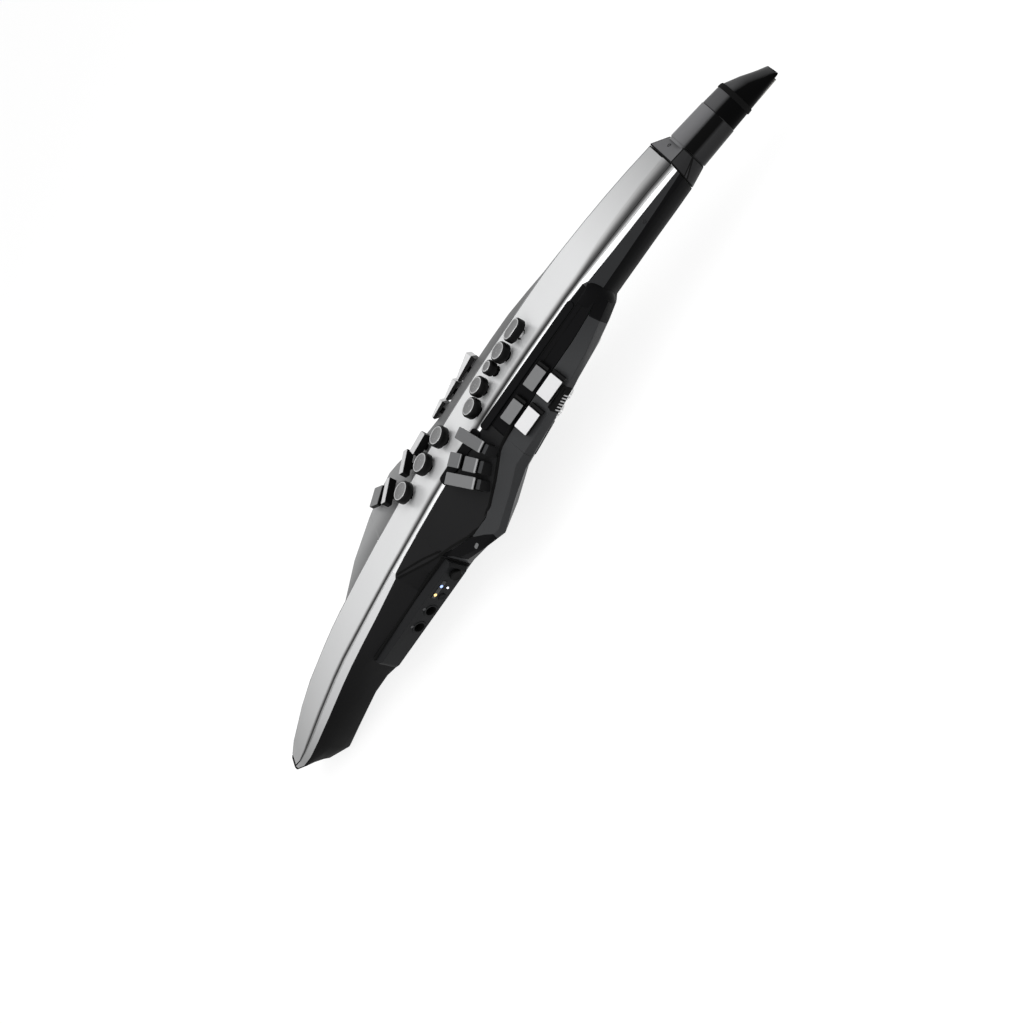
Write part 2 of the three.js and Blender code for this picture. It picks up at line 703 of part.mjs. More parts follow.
const lowerMiddle = strip(bulgeEndX, pinkyTipX - seamGap, seamIndex, rightOf(wingIndex));
const lowerWing = strip(pinkyTipX, wingEndX - seamGap, trimIndex, rightOf(wingIndex));
const lowerTail = strip(wingEndX, tailBlockX - seamGap, trimIndex, rightOf(trimIndex));

// Closed end of the tail, under the front panel and then beyond it
function tailBlock(highX, lowX, covered) {
  const rings = stationsBetween(highX, lowX).map((x) => {
    const ring = ringAt(x);
    const inner = insetRing(ring, wall + fitGap);
    const chain = shiftedEnds(ring.slice(trimIndex, rightOf(trimIndex) + 1), halfSeam);
    const lidIndices = [rightOf(trimIndex), rightOf(0), 0, trimIndex];
    const lid = lidIndices.map((k) => inner[k]);
    return (covered ? [...chain, ...lid] : ring).map(([y, z]) => [x, y, z]);
  });
  return loft(rings);
}

let lowerHousing = lowerMiddle
  .add(lowerWing)
  .add(lowerTail)
  .add(tailBlock(tailBlockX, tipBlockX - seamGap, true))
  .add(tailBlock(tipBlockX - halfSeam, -tailLength, false));

// Front keys and the openings of their stems
const stemReach = capLift + sheetDrop - sheetThickness - keyTravel - contactGap;

function roundKey(diameter) {
  const radius = diameter / 2;
  return turned([
    [0, -stemReach],
    [stemFlangeRadius, -stemReach],
    [stemFlangeRadius, -stemReach + stemFlangeHeight],
    [stemRadius, -stemReach + stemFlangeHeight],
    [stemRadius, 0],
    [radius - capBevel, 0],
    [radius, capBevel],
    [radius, capHeight - capBevel],
    [radius - capBevel, capHeight],
    [radius - capBevel * 2, capHeight],
    [radius - capBevel * 3, capHeight - capDish],
    [0, capHeight - capDish],
  ]);
}

function cutStem(x, y, radius) {
  const top = panelHeight(x);
  return rodZ(radius + stemClearance, top - sheetDrop + sheetThickness, top + capLift, x, y);
}

Object.entries(frontKeyShares).forEach(([name, [along, out, diameter]]) => {
  const x = scaled(along);
  const y = scaled(-out);
  const base = panelHeight(x) + capLift;
  addPiece(name, roundKey(scaled(diameter)).translate(x, y, base), 'key');
  frontPanel = frontPanel.subtract(cutStem(x, y, stemRadius));
});

const oblongX = scaled(oblongKeyShares[0]);
const oblongY = scaled(-oblongKeyShares[1]);
const oblongBase = panelHeight(oblongX) + capLift;
const oblongCap = roundedPlate(oblongKeyLength, oblongKeyWidth, capHeight, oblongKeyWidth / 2, capBevel);
const oblongStem = rodZ(stemRadius, -stemReach, capBevel, 0, 0);
const oblongKey = oblongCap.add(oblongStem).translate(oblongX, oblongY, oblongBase);
addPiece('front_key_oblong', oblongKey, 'key');
frontPanel = frontPanel.subtract(cutStem(oblongX, oblongY, stemRadius));

// Plate keys on the flanks
Object.entries(plateKeyShares).forEach(([name, shares]) => {
  const frame = keyFrame(shares);
  const length = scaled(shares[5]);
  const width = scaled(shares[6]);
  const cap = roundedPlate(length, width, scaled(shares[7]), plateKeyCorner, plateKeyBevel);
  const stem = rodZ(plateStemRadius, -plateStemReach, plateKeyBevel, 0, 0);
  const opening = rodZ(plateStemRadius + stemClearance, -plateStemReach - wall * 2, 0, 0, 0);
  const cut = placed(opening, frame);
  addPiece(name, placed(cap.add(stem), frame), 'key');
  palmPanel = palmPanel.subtract(cut);
  rearHousing = rearHousing.subtract(cut);
  rightCover = rightCover.subtract(cut);
});

// Left pinky keys: a bar with a hinge barrel under its outer end, held between two bracket cheeks
Object.entries(pinkyKeyShares).forEach(([name, shares]) => {
  const frame = keyFrame(shares);
  const length = scaled(shares[5]);
  const width = scaled(shares[6]);
  const barrelX = length / 2 - barrelRadius - barrelInset;
  const cap = roundedPlate(length, width, pinkyKeyHeight, plateKeyCorner, plateKeyBevel);
  const barrelZ = plateKeyBevel - barrelDrop;
  const barrel = rodY(barrelRadius, width / 2).translate(barrelX, 0, barrelZ);
  const cheekY = width / 4 + bracketGap + bracketThickness / 2;
  const depth = scaled(shares[7]);
  [-cheekY, cheekY].forEach((y) => {
    const cheek = box(bracketLength, bracketThickness, depth, barrelX, y, barrelZ - depth / 2);
    pinkyPanel = pinkyPanel.add(placed(cheek, frame));
  });
  addPiece(name, placed(cap.add(barrel), frame), 'key');
});

// Jack panel and its fittings
const jackRings = jackSectionShares.map(([along, upperEdge, lowerEdge]) => {
  const x = scaled(along);
  const ring = ringAt(x);
  const slope = direction(ring[shoulderIndex], ring[flankIndex]);
  const offset = [slope[1] * fitGap, -slope[0] * fitGap];
  const shoulder = ring[shoulderIndex].map((value, i) => value + offset[i]);
  const flank = ring[flankIndex].map((value, i) => value + offset[i]);
  const face = [upperEdge, lowerEdge].map(([out, up]) => [scaled(-out), scaled(up)]);
  return [shoulder, ...face, flank].map(([y, z]) => [x, y, z]);
});
let jackPanel = loft(jackRings);

function cutJackSide(opening) {
  jackPanel = jackPanel.subtract(opening);
  lowerHousing = lowerHousing.subtract(opening);
}

const knobCap = rodZ(knobRadius, fitGap, knobStand, 0, 0);
const knobShaft = rodZ(knobShaftRadius, -fittingDepth, knobStand, 0, 0);
const jackBarrel = rodZ(jackOuterRadius, -jackDepth, jackLip, 0, 0);
const jackSleeve = jackBarrel.subtract(rodZ(jackBoreRadius, -fittingDepth, knobStand, 0, 0));
const powerButton = rodZ(buttonRadius, -fittingDepth, buttonStand, 0, 0);
const jackFittings = {
  volume_knob: { solid: knobCap.add(knobShaft), radius: knobShaftRadius, material: 'key' },
  power_button: { solid: powerButton, radius: buttonRadius, material: 'key' },
  phones_jack: { solid: jackSleeve, radius: jackOuterRadius, material: 'rubber' },
  charge_jack: { solid: jackSleeve, radius: jackOuterRadius, material: 'rubber' },
};
Object.entries(jackFittings).forEach(([name, { solid, radius, material }]) => {
  const frame = keyFrame([...jackFittingShares[name], jackFaceRollShare, 0]);
  cutJackSide(placed(rodZ(radius + fitGap, -jackDepth - wall, knobStand, 0, 0), frame));
  addPiece(name, placed(solid, frame), material);
});

const lampFrame = keyFrame([...lampShares, jackFaceRollShare, 0]);
const lampBody = box(lampLength, lampWidth, lampDepth + lampStand, 0, 0, (lampStand - lampDepth) / 2);
const lampPocket = box(lampLength + fitGap * 2, lampWidth + fitGap * 2, lampDepth * 2, 0, 0, -fitGap);
jackPanel = jackPanel.subtract(placed(lampPocket, lampFrame));
addPiece('lamp_strip', placed(lampBody, lampFrame), 'window');
addPiece('jack_panel', jackPanel, 'panel');

// Octave rollers on the left flank of the rear, with their axle cheeks
function flankPoint(x, share) {
  const ring = ringAt(x);
  const [ay, az] = ring[flankIndex];
  const [by, bz] = ring[rearIndex];
  const slope = direction([ay, az], [by, bz]);
  return { y: ay + (by - ay) * share, z: az + (bz - az) * share, normal: [slope[1], -slope[0]] };
}

Object.entries(rollerShares).forEach(([name, along]) => {
  const x = scaled(along);
  const spot = flankPoint(x, rollerFlankShare);
  const inward = rollerRadius - rollerProud;
  const centre = [x, spot.y - spot.normal[0] * inward, spot.z - spot.normal[1] * inward];
  const turn = new THREE.Matrix4().makeRotationX(flankRollShare * Math.PI);
  const frame = new THREE.Matrix4().makeTranslation(...centre).multiply(turn);
  const roller = rodY(rollerRadius, rollerLength).add(rodY(axleRadius, axleLength));
  const opening = rodY(rollerRadius + fitGap, rollerLength + fitGap * 2);
  const cheekY = rollerLength / 2 + fitGap + cheekThickness / 2;
  const cheekZ = rollerProud + wall - cheekDepth / 2;
  [-cheekY, cheekY].forEach((y) => {
    const cheek = box(rollerRadius * 2, cheekThickness, cheekDepth, 0, y, cheekZ);
    rearHousing = rearHousing.add(placed(cheek, frame));
  });
  rearHousing = rearHousing.subtract(placed(opening, frame));
  rearHousing = rearHousing.subtract(placed(rodY(axleRadius + fitGap, axleLength * 2), frame));
  addPiece(name, placed(roller, frame), 'bright');
});

// Plate that follows the left flank of the rear
const thumbRings = stationsBetween(...thumbRestAlongShares.map(scaled)).map((x) => {
  const [a, b] = thumbRestFlankShares.map((share) => flankPoint(x, share));
  const lift = ({ y, z, normal }, rise) => [x, y + normal[0] * rise, z + normal[1] * rise];
  const top = fitGap + thumbRestThickness;
  return [lift(a, fitGap), lift(b, fitGap), lift(b, top), lift(a, top)];
});
addPiece('thumb_rest', loft(thumbRings), 'rubber');

// Thumb bay in the right flank of the rear, with the sliding thumb hook under its roof
const [bayHighX, bayLowX] = bayEndShares.map(scaled);
const [bayLeftY, bayRightY] = baySideShares.map(scaled);
const bayRoofZ = scaled(bayRoofShare);
const bayLength = bayHighX - bayLowX;
const bayX = (bayHighX + bayLowX) / 2;
const bayWidth = bayRightY - bayLeftY;
const bayY = (bayRightY + bayLeftY) / 2;
const linerRings = stationsBetween(bayHighX + wall * 2, bayLowX - wall * 2).map((x) => {
  return insetRing(ringAt(x), wall / 2).map(([y, z]) => [x, y, z]);
});
const linerHeight = bayRoofZ + wall;
const bayLiner = box(bayLength + wall * 2, bayWidth + wall * 2, linerHeight, bayX, bayY, linerHeight / 2);
const bayHollow = box(bayLength, bayWidth, bayRoofZ * 2, bayX, bayY, 0);
rearHousing = rearHousing.add(bayLiner.intersect(loft(linerRings))).subtract(bayHollow);

const hookHighX = bayHighX - hookTravel;
const hookY = bayLeftY + hookSideGap + hookWidth / 2;
const hookTopZ = bayRoofZ - fitGap;
const hookTipZ = hookTopZ - hookDrop;
const [hookPlate, hookArm, hookCurl] = [
  [hookPlateLength, hookPlateThickness, hookTopZ - hookPlateThickness / 2],
  [hookArmThickness, hookDrop, hookTopZ - hookDrop / 2],
  [hookCurlLength, hookArmThickness, hookTipZ + hookArmThickness / 2],
].map(([length, height, z]) => box(length, hookWidth, height, hookHighX - length / 2, hookY, z));
addPiece('thumb_hook', hookPlate.add(hookArm).add(hookCurl), 'satin');

// Strap ring on a foot that follows the sloping rear
const [strapX, strapY] = strapShares.map(scaled);
function strapFoot(rise) {
  const rings = stationsBetween(strapX + strapFootLength / 2, strapX - strapFootLength / 2).map((x) => {
    const [low, high] = [strapY - strapFootWidth / 2, strapY + strapFootWidth / 2];
    const top = rearHeight(x) - fitGap;
    const bottom = top - strapFootThickness;
    return [[x, low, top + rise], [x, low, bottom], [x, high, bottom], [x, high, top + rise]];
  });
  return loft(rings);
}
const strapTorus = new THREE.TorusGeometry(strapRingRadius, strapRingWire, holeSegments, turnSegments);
strapTorus.rotateX(Math.PI / 2);
const strapLoop = toSolid(strapTorus).translate(strapX, strapY, rearHeight(strapX) - strapRingDrop);
addPiece('strap_ring', strapLoop.subtract(strapFoot(strapRingRadius)).add(strapFoot(0)), 'bright');

// Display, menu button, battery door and rubber pads on the rear
const rearThickness = wall * 2;
const displayX = scaled(displayShare);
const menuButtonX = scaled(menuButtonShare);
const rearFlatY = scaled(rearFittingSideShare);
const rearFlatZ = rearHeight(displayX);
const [batteryTopX, batteryY, batteryZ] = batteryShares.map(scaled);
const batteryX = batteryTopX - batteryLength / 2;
const doorLength = batteryLength - doorInset * 2;
function rearPlate(length, width, thickness, x) {
  return box(length, width, thickness, x, rearFlatY, rearFlatZ + thickness / 2);
}
function rearOpening(length, width, x) {
  return box(length + fitGap * 2, width + fitGap * 2, rearThickness * 2, x, rearFlatY, rearFlatZ);
}
const menuButtonSpan = [rearFlatZ - menuButtonStand, rearFlatZ + menuButtonDepth];
const menuButton = rodZ(menuButtonRadius, ...menuButtonSpan, menuButtonX, rearFlatY);
lowerHousing = lowerHousing
  .subtract(rearOpening(displayLength, displayWidth, displayX))
  .subtract(rearOpening(doorLength, doorWidth, batteryX))
  .subtract(rodZ(menuButtonRadius + fitGap, 0, rearFlatZ + rearThickness, menuButtonX, rearFlatY));
addPiece('display_window', rearPlate(displayLength, displayWidth, displayThickness, displayX), 'window');
addPiece('battery_door', rearPlate(doorLength, doorWidth, wall, batteryX), 'satin');
addPiece('menu_button', menuButton, 'key');
Object.entries(padShares).forEach(([name, [along, right, length, turn]]) => {
  const frame = new THREE.Matrix4().makeTranslation(scaled(along), scaled(right), 0);
  frame.multiply(new THREE.Matrix4().makeRotationZ(turn * Math.PI));
  const pad = roundedPlate(scaled(length), padWidth, scaled(padTopShare), padCorner, padBevel);
  addPiece(name, placed(pad, frame), 'rubber');
});

// Battery pack on its ribs, speaker on its ring
const ribReach = batteryLength / 2 - batteryRibInset;
[batteryX + ribReach, batteryX - ribReach].forEach((x) => {
  const ribTop = batteryZ - halfSeam;
  const ribHeight = ribTop - rearHeight(x) - wall / 2;
  const rib = box(batteryRibThickness, batteryRibWidth, ribHeight, x, rearFlatY, ribTop - ribHeight / 2);
  lowerHousing = lowerHousing.add(rib);
});
const battery = roundedPlate(batteryLength, batteryWidth, batteryHeight, plateKeyCorner, plateKeyBevel);
addPiece('battery_pack', battery.translate(batteryX, batteryY, batteryZ), 'silver');

const [speakerX, speakerZ] = speakerShares.map(scaled);
const speakerRingZ = rearHeight(speakerX) + wall - seamGap;
const speakerBoreRadius = speakerRadius - speakerRingWall;
const speakerWall = rodZ(speakerRadius, speakerRingZ, speakerZ, speakerX, 0);
const speakerBore = rodZ(speakerBoreRadius, speakerRingZ - wall, speakerZ + wall, speakerX, 0);
lowerHousing = lowerHousing.add(speakerWall.subtract(speakerBore));
for (let i = 0; i < grilleCount; i += 1) {
  const angle = (i / grilleCount) * Math.PI * 2;
  const x = speakerX + Math.cos(angle) * grilleRing;
  lowerHousing = lowerHousing.subtract(rodZ(grilleRadius, 0, speakerZ, x, Math.sin(angle) * grilleRing));
}
addPiece('speaker', rodZ(speakerRadius, speakerZ, speakerZ + speakerDepth, speakerX, 0), 'satin');

// Contact sheet under the front keys, hung on posts of the front panel
const sheetRings = stationsBetween(...sheetEndShares.map(scaled)).map((x) => {
  const low = panelHeight(x) - sheetDrop;
  const high = low + sheetThickness;
  const [left, right] = [-sheetHalfWidth, sheetHalfWidth];
  return [[x, left, high], [x, left, low], [x, right, low], [x, right, high]];
});
addPiece('contact_sheet', loft(sheetRings), 'rubber');
sheetPostShares.forEach((shares) => {
  const [x, y] = shares.map(scaled);
  const low = panelHeight(x) - sheetDrop + sheetThickness + fitGap;
  frontPanel = frontPanel.add(rodZ(postRadius, low, panelHeight(x) - wall / 2, x, y));
});

// Main board on posts of the rear housing, breath sensor and tube
const [boardHighX, boardLowX] = boardEndShares.map(scaled);
const boardZ = scaled(boardHeightShare);
const boardX = (boardHighX + boardLowX) / 2;
const boardMiddleZ = boardZ + boardThickness / 2;
const mainBoard = box(boardHighX - boardLowX, boardHalfWidth * 2, boardThickness, boardX, 0, boardMiddleZ);
addPiece('main_board', mainBoard, 'board');
boardPostShares.forEach((shares) => {
  const [x, y] = shares.map(scaled);
  rearHousing = rearHousing.add(rodZ(postRadius, rearHeight(x) + wall / 2, boardZ, x, y));
});
const sensorX = scaled(sensorShare);
const sensorZ = boardZ + boardThickness + sensorHeight / 2;
addPiece('breath_sensor', box(sensorLength, sensorWidth, sensorHeight, sensorX, 0, sensorZ), 'plastic');

// Neck and mouthpiece, built along X and then leaned back
const tipShares = mouthpieceSectionShares[mouthpieceSectionShares.length - 1];
const neckBaseX = collarRearX + collarLength;
const neckBaseZ = scaled(neckBaseShare);
const neckFrame = new THREE.Matrix4()
  .makeTranslation(neckBaseX, 0, neckBaseZ)
  .multiply(new THREE.Matrix4().makeRotationY(neckLeanShare * Math.PI));

function alongNeck(profile) {
  const points = profile.map(([radius, height]) => new THREE.Vector2(radius, height));
  const geometry = new THREE.LatheGeometry(points, mouthpieceSegments);
  geometry.rotateZ(-Math.PI / 2);
  return placed(toSolid(geometry), neckFrame);
}

const tubeZ = scaled(tubeHeightShare);
const tubeLowX = sensorX + sensorLength / 2 + fitGap;
const tubeTopX = neckBaseX + tubeReach;
const tubeBore = rodX(tubeBoreRadius, tubeLowX - wall, tubeTopX + wall, 0, tubeZ);
addPiece('breath_tube', rodX(tubeRadius, tubeLowX, tubeTopX, 0, tubeZ).subtract(tubeBore), 'rubber');

addPiece(
  'neck_tube',
  alongNeck([
    [neckBoreRadius, 0],
    [neckBaseRadius, 0],
    [neckTopRadius, neckLength],
    [tenonRadius, neckLength],
    [tenonRadius, neckLength + tenonLength],
    [neckBoreRadius, neckLength + tenonLength],
    [neckBoreRadius, 0],
  ]),
  'panel',
);

const collarBase = ringAt(collarRearX).map(([y, z]) => [collarPlane(z) + halfSeam, y, z]);
const collarTop = collarBase.map(([, y, z]) => {
  const angle = Math.atan2(z - neckBaseZ, y);
  const radius = neckBaseRadius + collarTopInset;
  const point = new THREE.Vector3(-seamGap, Math.cos(angle) * radius, Math.sin(angle) * radius);
  return point.applyMatrix4(neckFrame).toArray();
});
const collarBore = rodX(neckBoreRadius, collarRearX - wall, neckBaseX + wall * 2, 0, tubeZ);
addPiece('collar', loft([collarBase, collarTop]).subtract(collarBore), 'panel');

const mouthX = (share) => neckLength + seamGap + share * mouthpieceLength;
function mouthSection(share) {
  const upper = mouthpieceSectionShares.findLastIndex((row) => row[0] <= share);
  const a = mouthpieceSectionShares[upper];
  const b = mouthpieceSectionShares[Math.min(upper + 1, mouthpieceSectionShares.length - 1)];
  const blend = a === b ? 0 : (share - a[0]) / (b[0] - a[0]);
  return a.map((value, i) => (value + (b[i] - value) * blend) * mouthpieceRadius);
}
function mouthRing(share, grow) {
  const [, halfWidth, front, rear, centre] = mouthSection(share);
  const ring = [];
  for (let i = 0; i < mouthpieceSegments; i += 1) {
    const angle = (i / mouthpieceSegments) * Math.PI * 2;
    const reach = Math.sin(angle) > 0 ? front + grow : rear + grow;
    ring.push([mouthX(share), Math.cos(angle) * (halfWidth + grow), centre + Math.sin(angle) * reach]);
  }
  return ring;
}
function slab(startShare, endShare, halfWidth, startZ, endZ, depth) {
  const ring = (share, high) => {
    const x = mouthX(share);
    const low = high - depth;
    return [[x, -halfWidth, high], [x, -halfWidth, low], [x, halfWidth, low], [x, halfWidth, high]];
  };
  return loft([ring(startShare, startZ), ring(endShare, endZ)]);
}

const mouthBody = loft(mouthpieceSectionShares.map(([share]) => mouthRing(share, 0)));
const socket = rodX(tenonRadius + socketClearance, 0, mouthX(0) + socketDepth, 0, 0);
const tipZ = tipShares[4] * mouthpieceRadius;
function windwayRing(x, middle, halfHeight) {
  const [low, high] = [middle - halfHeight, middle + halfHeight];
  const [left, right] = [-windwayHalfWidth, windwayHalfWidth];
  return [[x, left, high], [x, left, low], [x, right, low], [x, right, high]];
}
const windway = loft([
  windwayRing(mouthX(0) + socketDepth - wall, 0, windwayThroatHeight),
  windwayRing(mouthX(1) + wall, tipZ, windwayHalfHeight),
]);
const [reedStartDepth, reedEndDepth] = reedDepthShares.map((share) => share * mouthpieceRadius);
const reedSlope = (reedStartDepth - reedEndDepth) / (reedEndShare - reedStartShare);
const tableStart = -reedStartDepth - reedSlope * reedStartShare;
const table = slab(0, reedEndShare, neckBaseRadius, tableStart, -reedEndDepth, tableDepth);
const reedTop = -reedStartDepth - fitGap;
const reedTipTop = -reedEndDepth - fitGap;
const reedTipShare = reedEndShare - fitGap / mouthpieceLength;
const reed = slab(reedStartShare, reedTipShare, reedHalfWidth, reedTop, reedTipTop, reedThickness);
const mouthpiece = mouthBody.subtract(socket).subtract(windway).subtract(table);
addPiece('mouthpiece', placed(mouthpiece, neckFrame), 'black');
addPiece('reed_plate', placed(reed, neckFrame), 'plastic');
const bandOuter = loft(bandShares.map((share) => mouthRing(share, fitGap + bandHeight)));
const bandInner = loft(bandShares.map((share) => mouthRing(share, fitGap)));
addPiece('band_ring', placed(bandOuter.subtract(bandInner), neckFrame), 'rubber');

addPiece('front_panel', frontPanel, 'silver');
addPiece('trim_left', trimLeft, 'bright');
addPiece('trim_right', trimRight, 'bright');
addPiece('upper_housing', upperHousing, 'black');
addPiece('palm_panel', palmPanel, 'black');
addPiece('pinky_panel', pinkyPanel, 'satin');
addPiece('rear_housing', rearHousing, 'bulge');
addPiece('right_cover', rightCover, 'wing');
addPiece('lower_housing', lowerHousing, 'black');

export default group;
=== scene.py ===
import logging
import math
from collections.abc import Callable, Sequence
from dataclasses import dataclass
from enum import Enum

import bpy
from mathutils import Matrix, Vector
from mathutils.bvhtree import BVHTree


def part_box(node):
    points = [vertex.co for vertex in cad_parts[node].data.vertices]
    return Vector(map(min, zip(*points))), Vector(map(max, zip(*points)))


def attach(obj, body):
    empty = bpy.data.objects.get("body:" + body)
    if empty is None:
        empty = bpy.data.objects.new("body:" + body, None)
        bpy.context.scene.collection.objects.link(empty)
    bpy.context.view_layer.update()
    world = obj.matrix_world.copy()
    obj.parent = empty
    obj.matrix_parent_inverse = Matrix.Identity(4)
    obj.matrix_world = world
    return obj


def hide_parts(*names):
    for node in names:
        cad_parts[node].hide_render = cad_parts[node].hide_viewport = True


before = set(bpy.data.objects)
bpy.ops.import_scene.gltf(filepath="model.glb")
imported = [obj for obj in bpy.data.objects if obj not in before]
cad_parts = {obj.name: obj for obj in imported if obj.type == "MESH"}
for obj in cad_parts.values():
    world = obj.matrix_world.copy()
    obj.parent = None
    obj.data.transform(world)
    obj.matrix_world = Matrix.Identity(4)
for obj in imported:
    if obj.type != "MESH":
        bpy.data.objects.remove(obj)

log = logging.getLogger("wind_controller")
Point = tuple[float, float, float]
Profile = Sequence[tuple[float, float]]
Tones = tuple[tuple[float, float], ...]
MM = 0.001
HALF_TURN = math.pi
PART_SCALE = 0.1


# Shader maths

class Wire:
    """A shader value that can be used in Python arithmetic."""

    def __init__(self, nodes: "Nodes", socket: bpy.types.NodeSocket) -> None:
        """Wraps a socket of a node tree."""
        self.nodes = nodes
        self.socket = socket

    def _math(self, operation: str, first: "Wire | float", second: "Wire | float") -> "Wire":
        """Adds a Math node.

        Args:
            operation: The node's operation.
            first: Its first value.
            second: Its second value.

        Returns:
            The node's result.
        """
        return self.nodes.wire("ShaderNodeMath", {"operation": operation}, {0: first, 1: second})

    def __add__(self, other: "Wire | float") -> "Wire":
        """Sum."""
        return self._math("ADD", self, other)

    def __radd__(self, other: float) -> "Wire":
        """Sum with a number in front."""
        return self._math("ADD", other, self)

    def __sub__(self, other: "Wire | float") -> "Wire":
        """Difference."""
        return self._math("SUBTRACT", self, other)

    def __rsub__(self, other: float) -> "Wire":
        """Difference from a number."""
        return self._math("SUBTRACT", other, self)

    def __mul__(self, other: "Wire | float") -> "Wire":
        """Product."""
        return self._math("MULTIPLY", self, other)

    def __rmul__(self, other: float) -> "Wire":
        """Product with a number in front."""
        return self._math("MULTIPLY", other, self)

    def above(self, limit: "Wire | float") -> "Wire":
        """One where the value is over the limit, else nought."""
        return self._math("GREATER_THAN", self, limit)

    def or_more(self, other: "Wire | float") -> "Wire":
        """The larger of two values."""
        return self._math("MAXIMUM", self, other)


class Nodes:
    """Adds nodes to the node tree of a material or the world."""

    def __init__(self, tree: bpy.types.NodeTree) -> None:
        """Starts on a tree."""
        self.tree = tree

    def node(self, kind: str, settings: dict, inputs: dict) -> bpy.types.Node:
        """Adds a node.

        Args:
            kind: The node's type.
            settings: Its settings, set first; "stops" holds the stops of a ramp.
            inputs: Values or wires for its sockets, by index or name.

        Returns:
            The node.
        """
        made = self.tree.nodes.new(kind)
        for name, value in settings.items():
            if name != "stops":
                setattr(made, name, value)
                continue
            stops = made.color_ramp.elements
            while len(stops) < len(value):
                stops.new(0.5)
            for stop, (position, color) in zip(stops, value):
                stop.position = position
                stop.color = (*color, 1.0)
        for key, value in inputs.items():
            if isinstance(value, Wire):
                self.tree.links.new(value.socket, made.inputs[key])
            else:
                made.inputs[key].default_value = value
        return made

    def wire(self, kind: str, settings: dict, inputs: dict, result: int | str = 0) -> Wire:
        """Adds a node and returns one of its results."""
        return Wire(self, self.node(kind, settings, inputs).outputs[result])


class Recipe(Nodes):
    """A material being put together from nodes."""

    def __init__(self, name: str) -> None:
        """Starts a material that has a Principled shader."""
        self.material = bpy.data.materials.new(name)
        self.material.use_nodes = True
        super().__init__(self.material.node_tree)
        self.shader = self.tree.nodes["Principled BSDF"]
        self.output = self.tree.nodes["Material Output"]
        self._place: Wire | None = None

    def place(self) -> Wire:
        """The place on the piece, in metres."""
        if self._place is None:
            self._place = self.wire("ShaderNodeTexCoord", {}, {}, "Object")
        return self._place

    def mapped(self, scale: Point = (1.0, 1.0, 1.0)) -> Wire:
        """The place, stretched."""
        return self.wire("ShaderNodeMapping", {}, {"Vector": self.place(), "Scale": scale})

    def noise(self, grain: float, stretch: Point = (1.0, 1.0, 1.0), detail: float = 2.0) -> Wire:
        """Noise with features about as wide as the grain.

        Args:
            grain: Feature size in metres.
            stretch: How much finer the noise is along each axis.
            detail: Levels of finer noise.

        Returns:
            A value from 0 to 1.
        """
        inputs = {"Vector": self.mapped(stretch), "Scale": 1.0 / grain, "Detail": detail}
        return self.wire("ShaderNodeTexNoise", {}, inputs, 0)

    def axis(self, letter: str) -> Wire:
        """One coordinate of the place."""
        return self.wire("ShaderNodeSeparateXYZ", {}, {0: self.place()}, letter)

    def facing(self, letter: str) -> Wire:
        """How far the surface faces along one axis of the part, from -1 to 1."""
        normal = self.wire("ShaderNodeTexCoord", {}, {}, "Normal")
        return self.wire("ShaderNodeSeparateXYZ", {}, {0: normal}, letter)

    def paint_shade_along(self, color: Wire, painted_shade: Tones, axis: str = "X") -> Wire:
        """Painted shade: a colour dimmed by how far along the body, or across it, a place is.

        Args:
            color: The full colour.
            painted_shade: Shares of it at rising places along the axis, in metres.
            axis: X along the body or Y across it.

        Returns:
            The dimmed colour.
        """
        first, reach = painted_shade[0][0], painted_shade[-1][0] - painted_shade[0][0]
        share = (self.axis(axis) - first) * (1 / reach)
        dim = self.ramp(share, [((along - first) / reach, (tone,) * 3) for along, tone in painted_shade])
        return self.blend(dim, (0, 0, 0), color)

    def blend(self, share: Wire, low: "Point | Wire", high: "Point | Wire") -> Wire:
        """A colour between two."""
        settings = {"data_type": "RGBA"}
        ends = [tone if isinstance(tone, Wire) else (*tone, 1.0) for tone in (low, high)]
        inputs = {"Factor": share, 6: ends[0], 7: ends[1]}
        return self.wire("ShaderNodeMix", settings, inputs, 2)

    def ramp(self, value: Wire, stops: Sequence[tuple[float, Point]]) -> Wire:
        """A colour read from a ramp."""
        return self.wire("ShaderNodeValToRGB", {"stops": stops}, {0: value}, 0)

    def paint(self, socket: str, value: "Wire | float | Point") -> None:
        """Sets or links one socket of the Principled shader."""
        target = self.shader.inputs[socket]
        if isinstance(value, Wire):
            self.tree.links.new(value.socket, target)
        elif isinstance(value, tuple) and len(value) == 3 and target.type == "RGBA":
            target.default_value = (*value, 1.0)
        else:
            target.default_value = value

    def bump(self, height: Wire, depth: float) -> None:
        """Raises the surface by a height of 0 to 1, times a depth in metres."""
        made = self.wire("ShaderNodeBump", {}, {"Height": height, "Distance": depth})
        self.tree.links.new(made.socket, self.shader.inputs["Normal"])


# Finishes

@dataclass(frozen=True)
class Moulded:
    """Moulded plastic with a fine spark-eroded grain."""

    name: str
    color: Point
    roughness: float = 0.4
    grain: float = 0.35 * MM
    depth: float = 0.02 * MM
    coat: float = 0.0
    metal: float = 0.0
    gloss: float = 0.2
    # Painted shade: shares of the colour at places along X.
    painted_shade: Tones = ()

    def make(self) -> bpy.types.Material:
        """Builds the material."""
        recipe = Recipe(self.name)
        recipe.paint("Specular IOR Level", self.gloss)
        broad = recipe.noise(18 * MM)
        fine = recipe.noise(self.grain, detail=3.0)
        dark = tuple(c * 0.86 for c in self.color)
        light = tuple(min(1.0, c * 1.14) for c in self.color)
        color = recipe.blend(broad * 0.6 + fine * 0.4, dark, light)
        if self.painted_shade:
            color = recipe.paint_shade_along(color, self.painted_shade)
        recipe.paint("Base Color", color)
        recipe.paint("Roughness", broad * 0.1 + fine * 0.06 + (self.roughness - 0.08))
        recipe.paint("Metallic", self.metal)
        recipe.paint("Coat Weight", self.coat)
        recipe.paint("Coat Roughness", 0.12)
        recipe.bump(fine, self.depth)
        return recipe.material


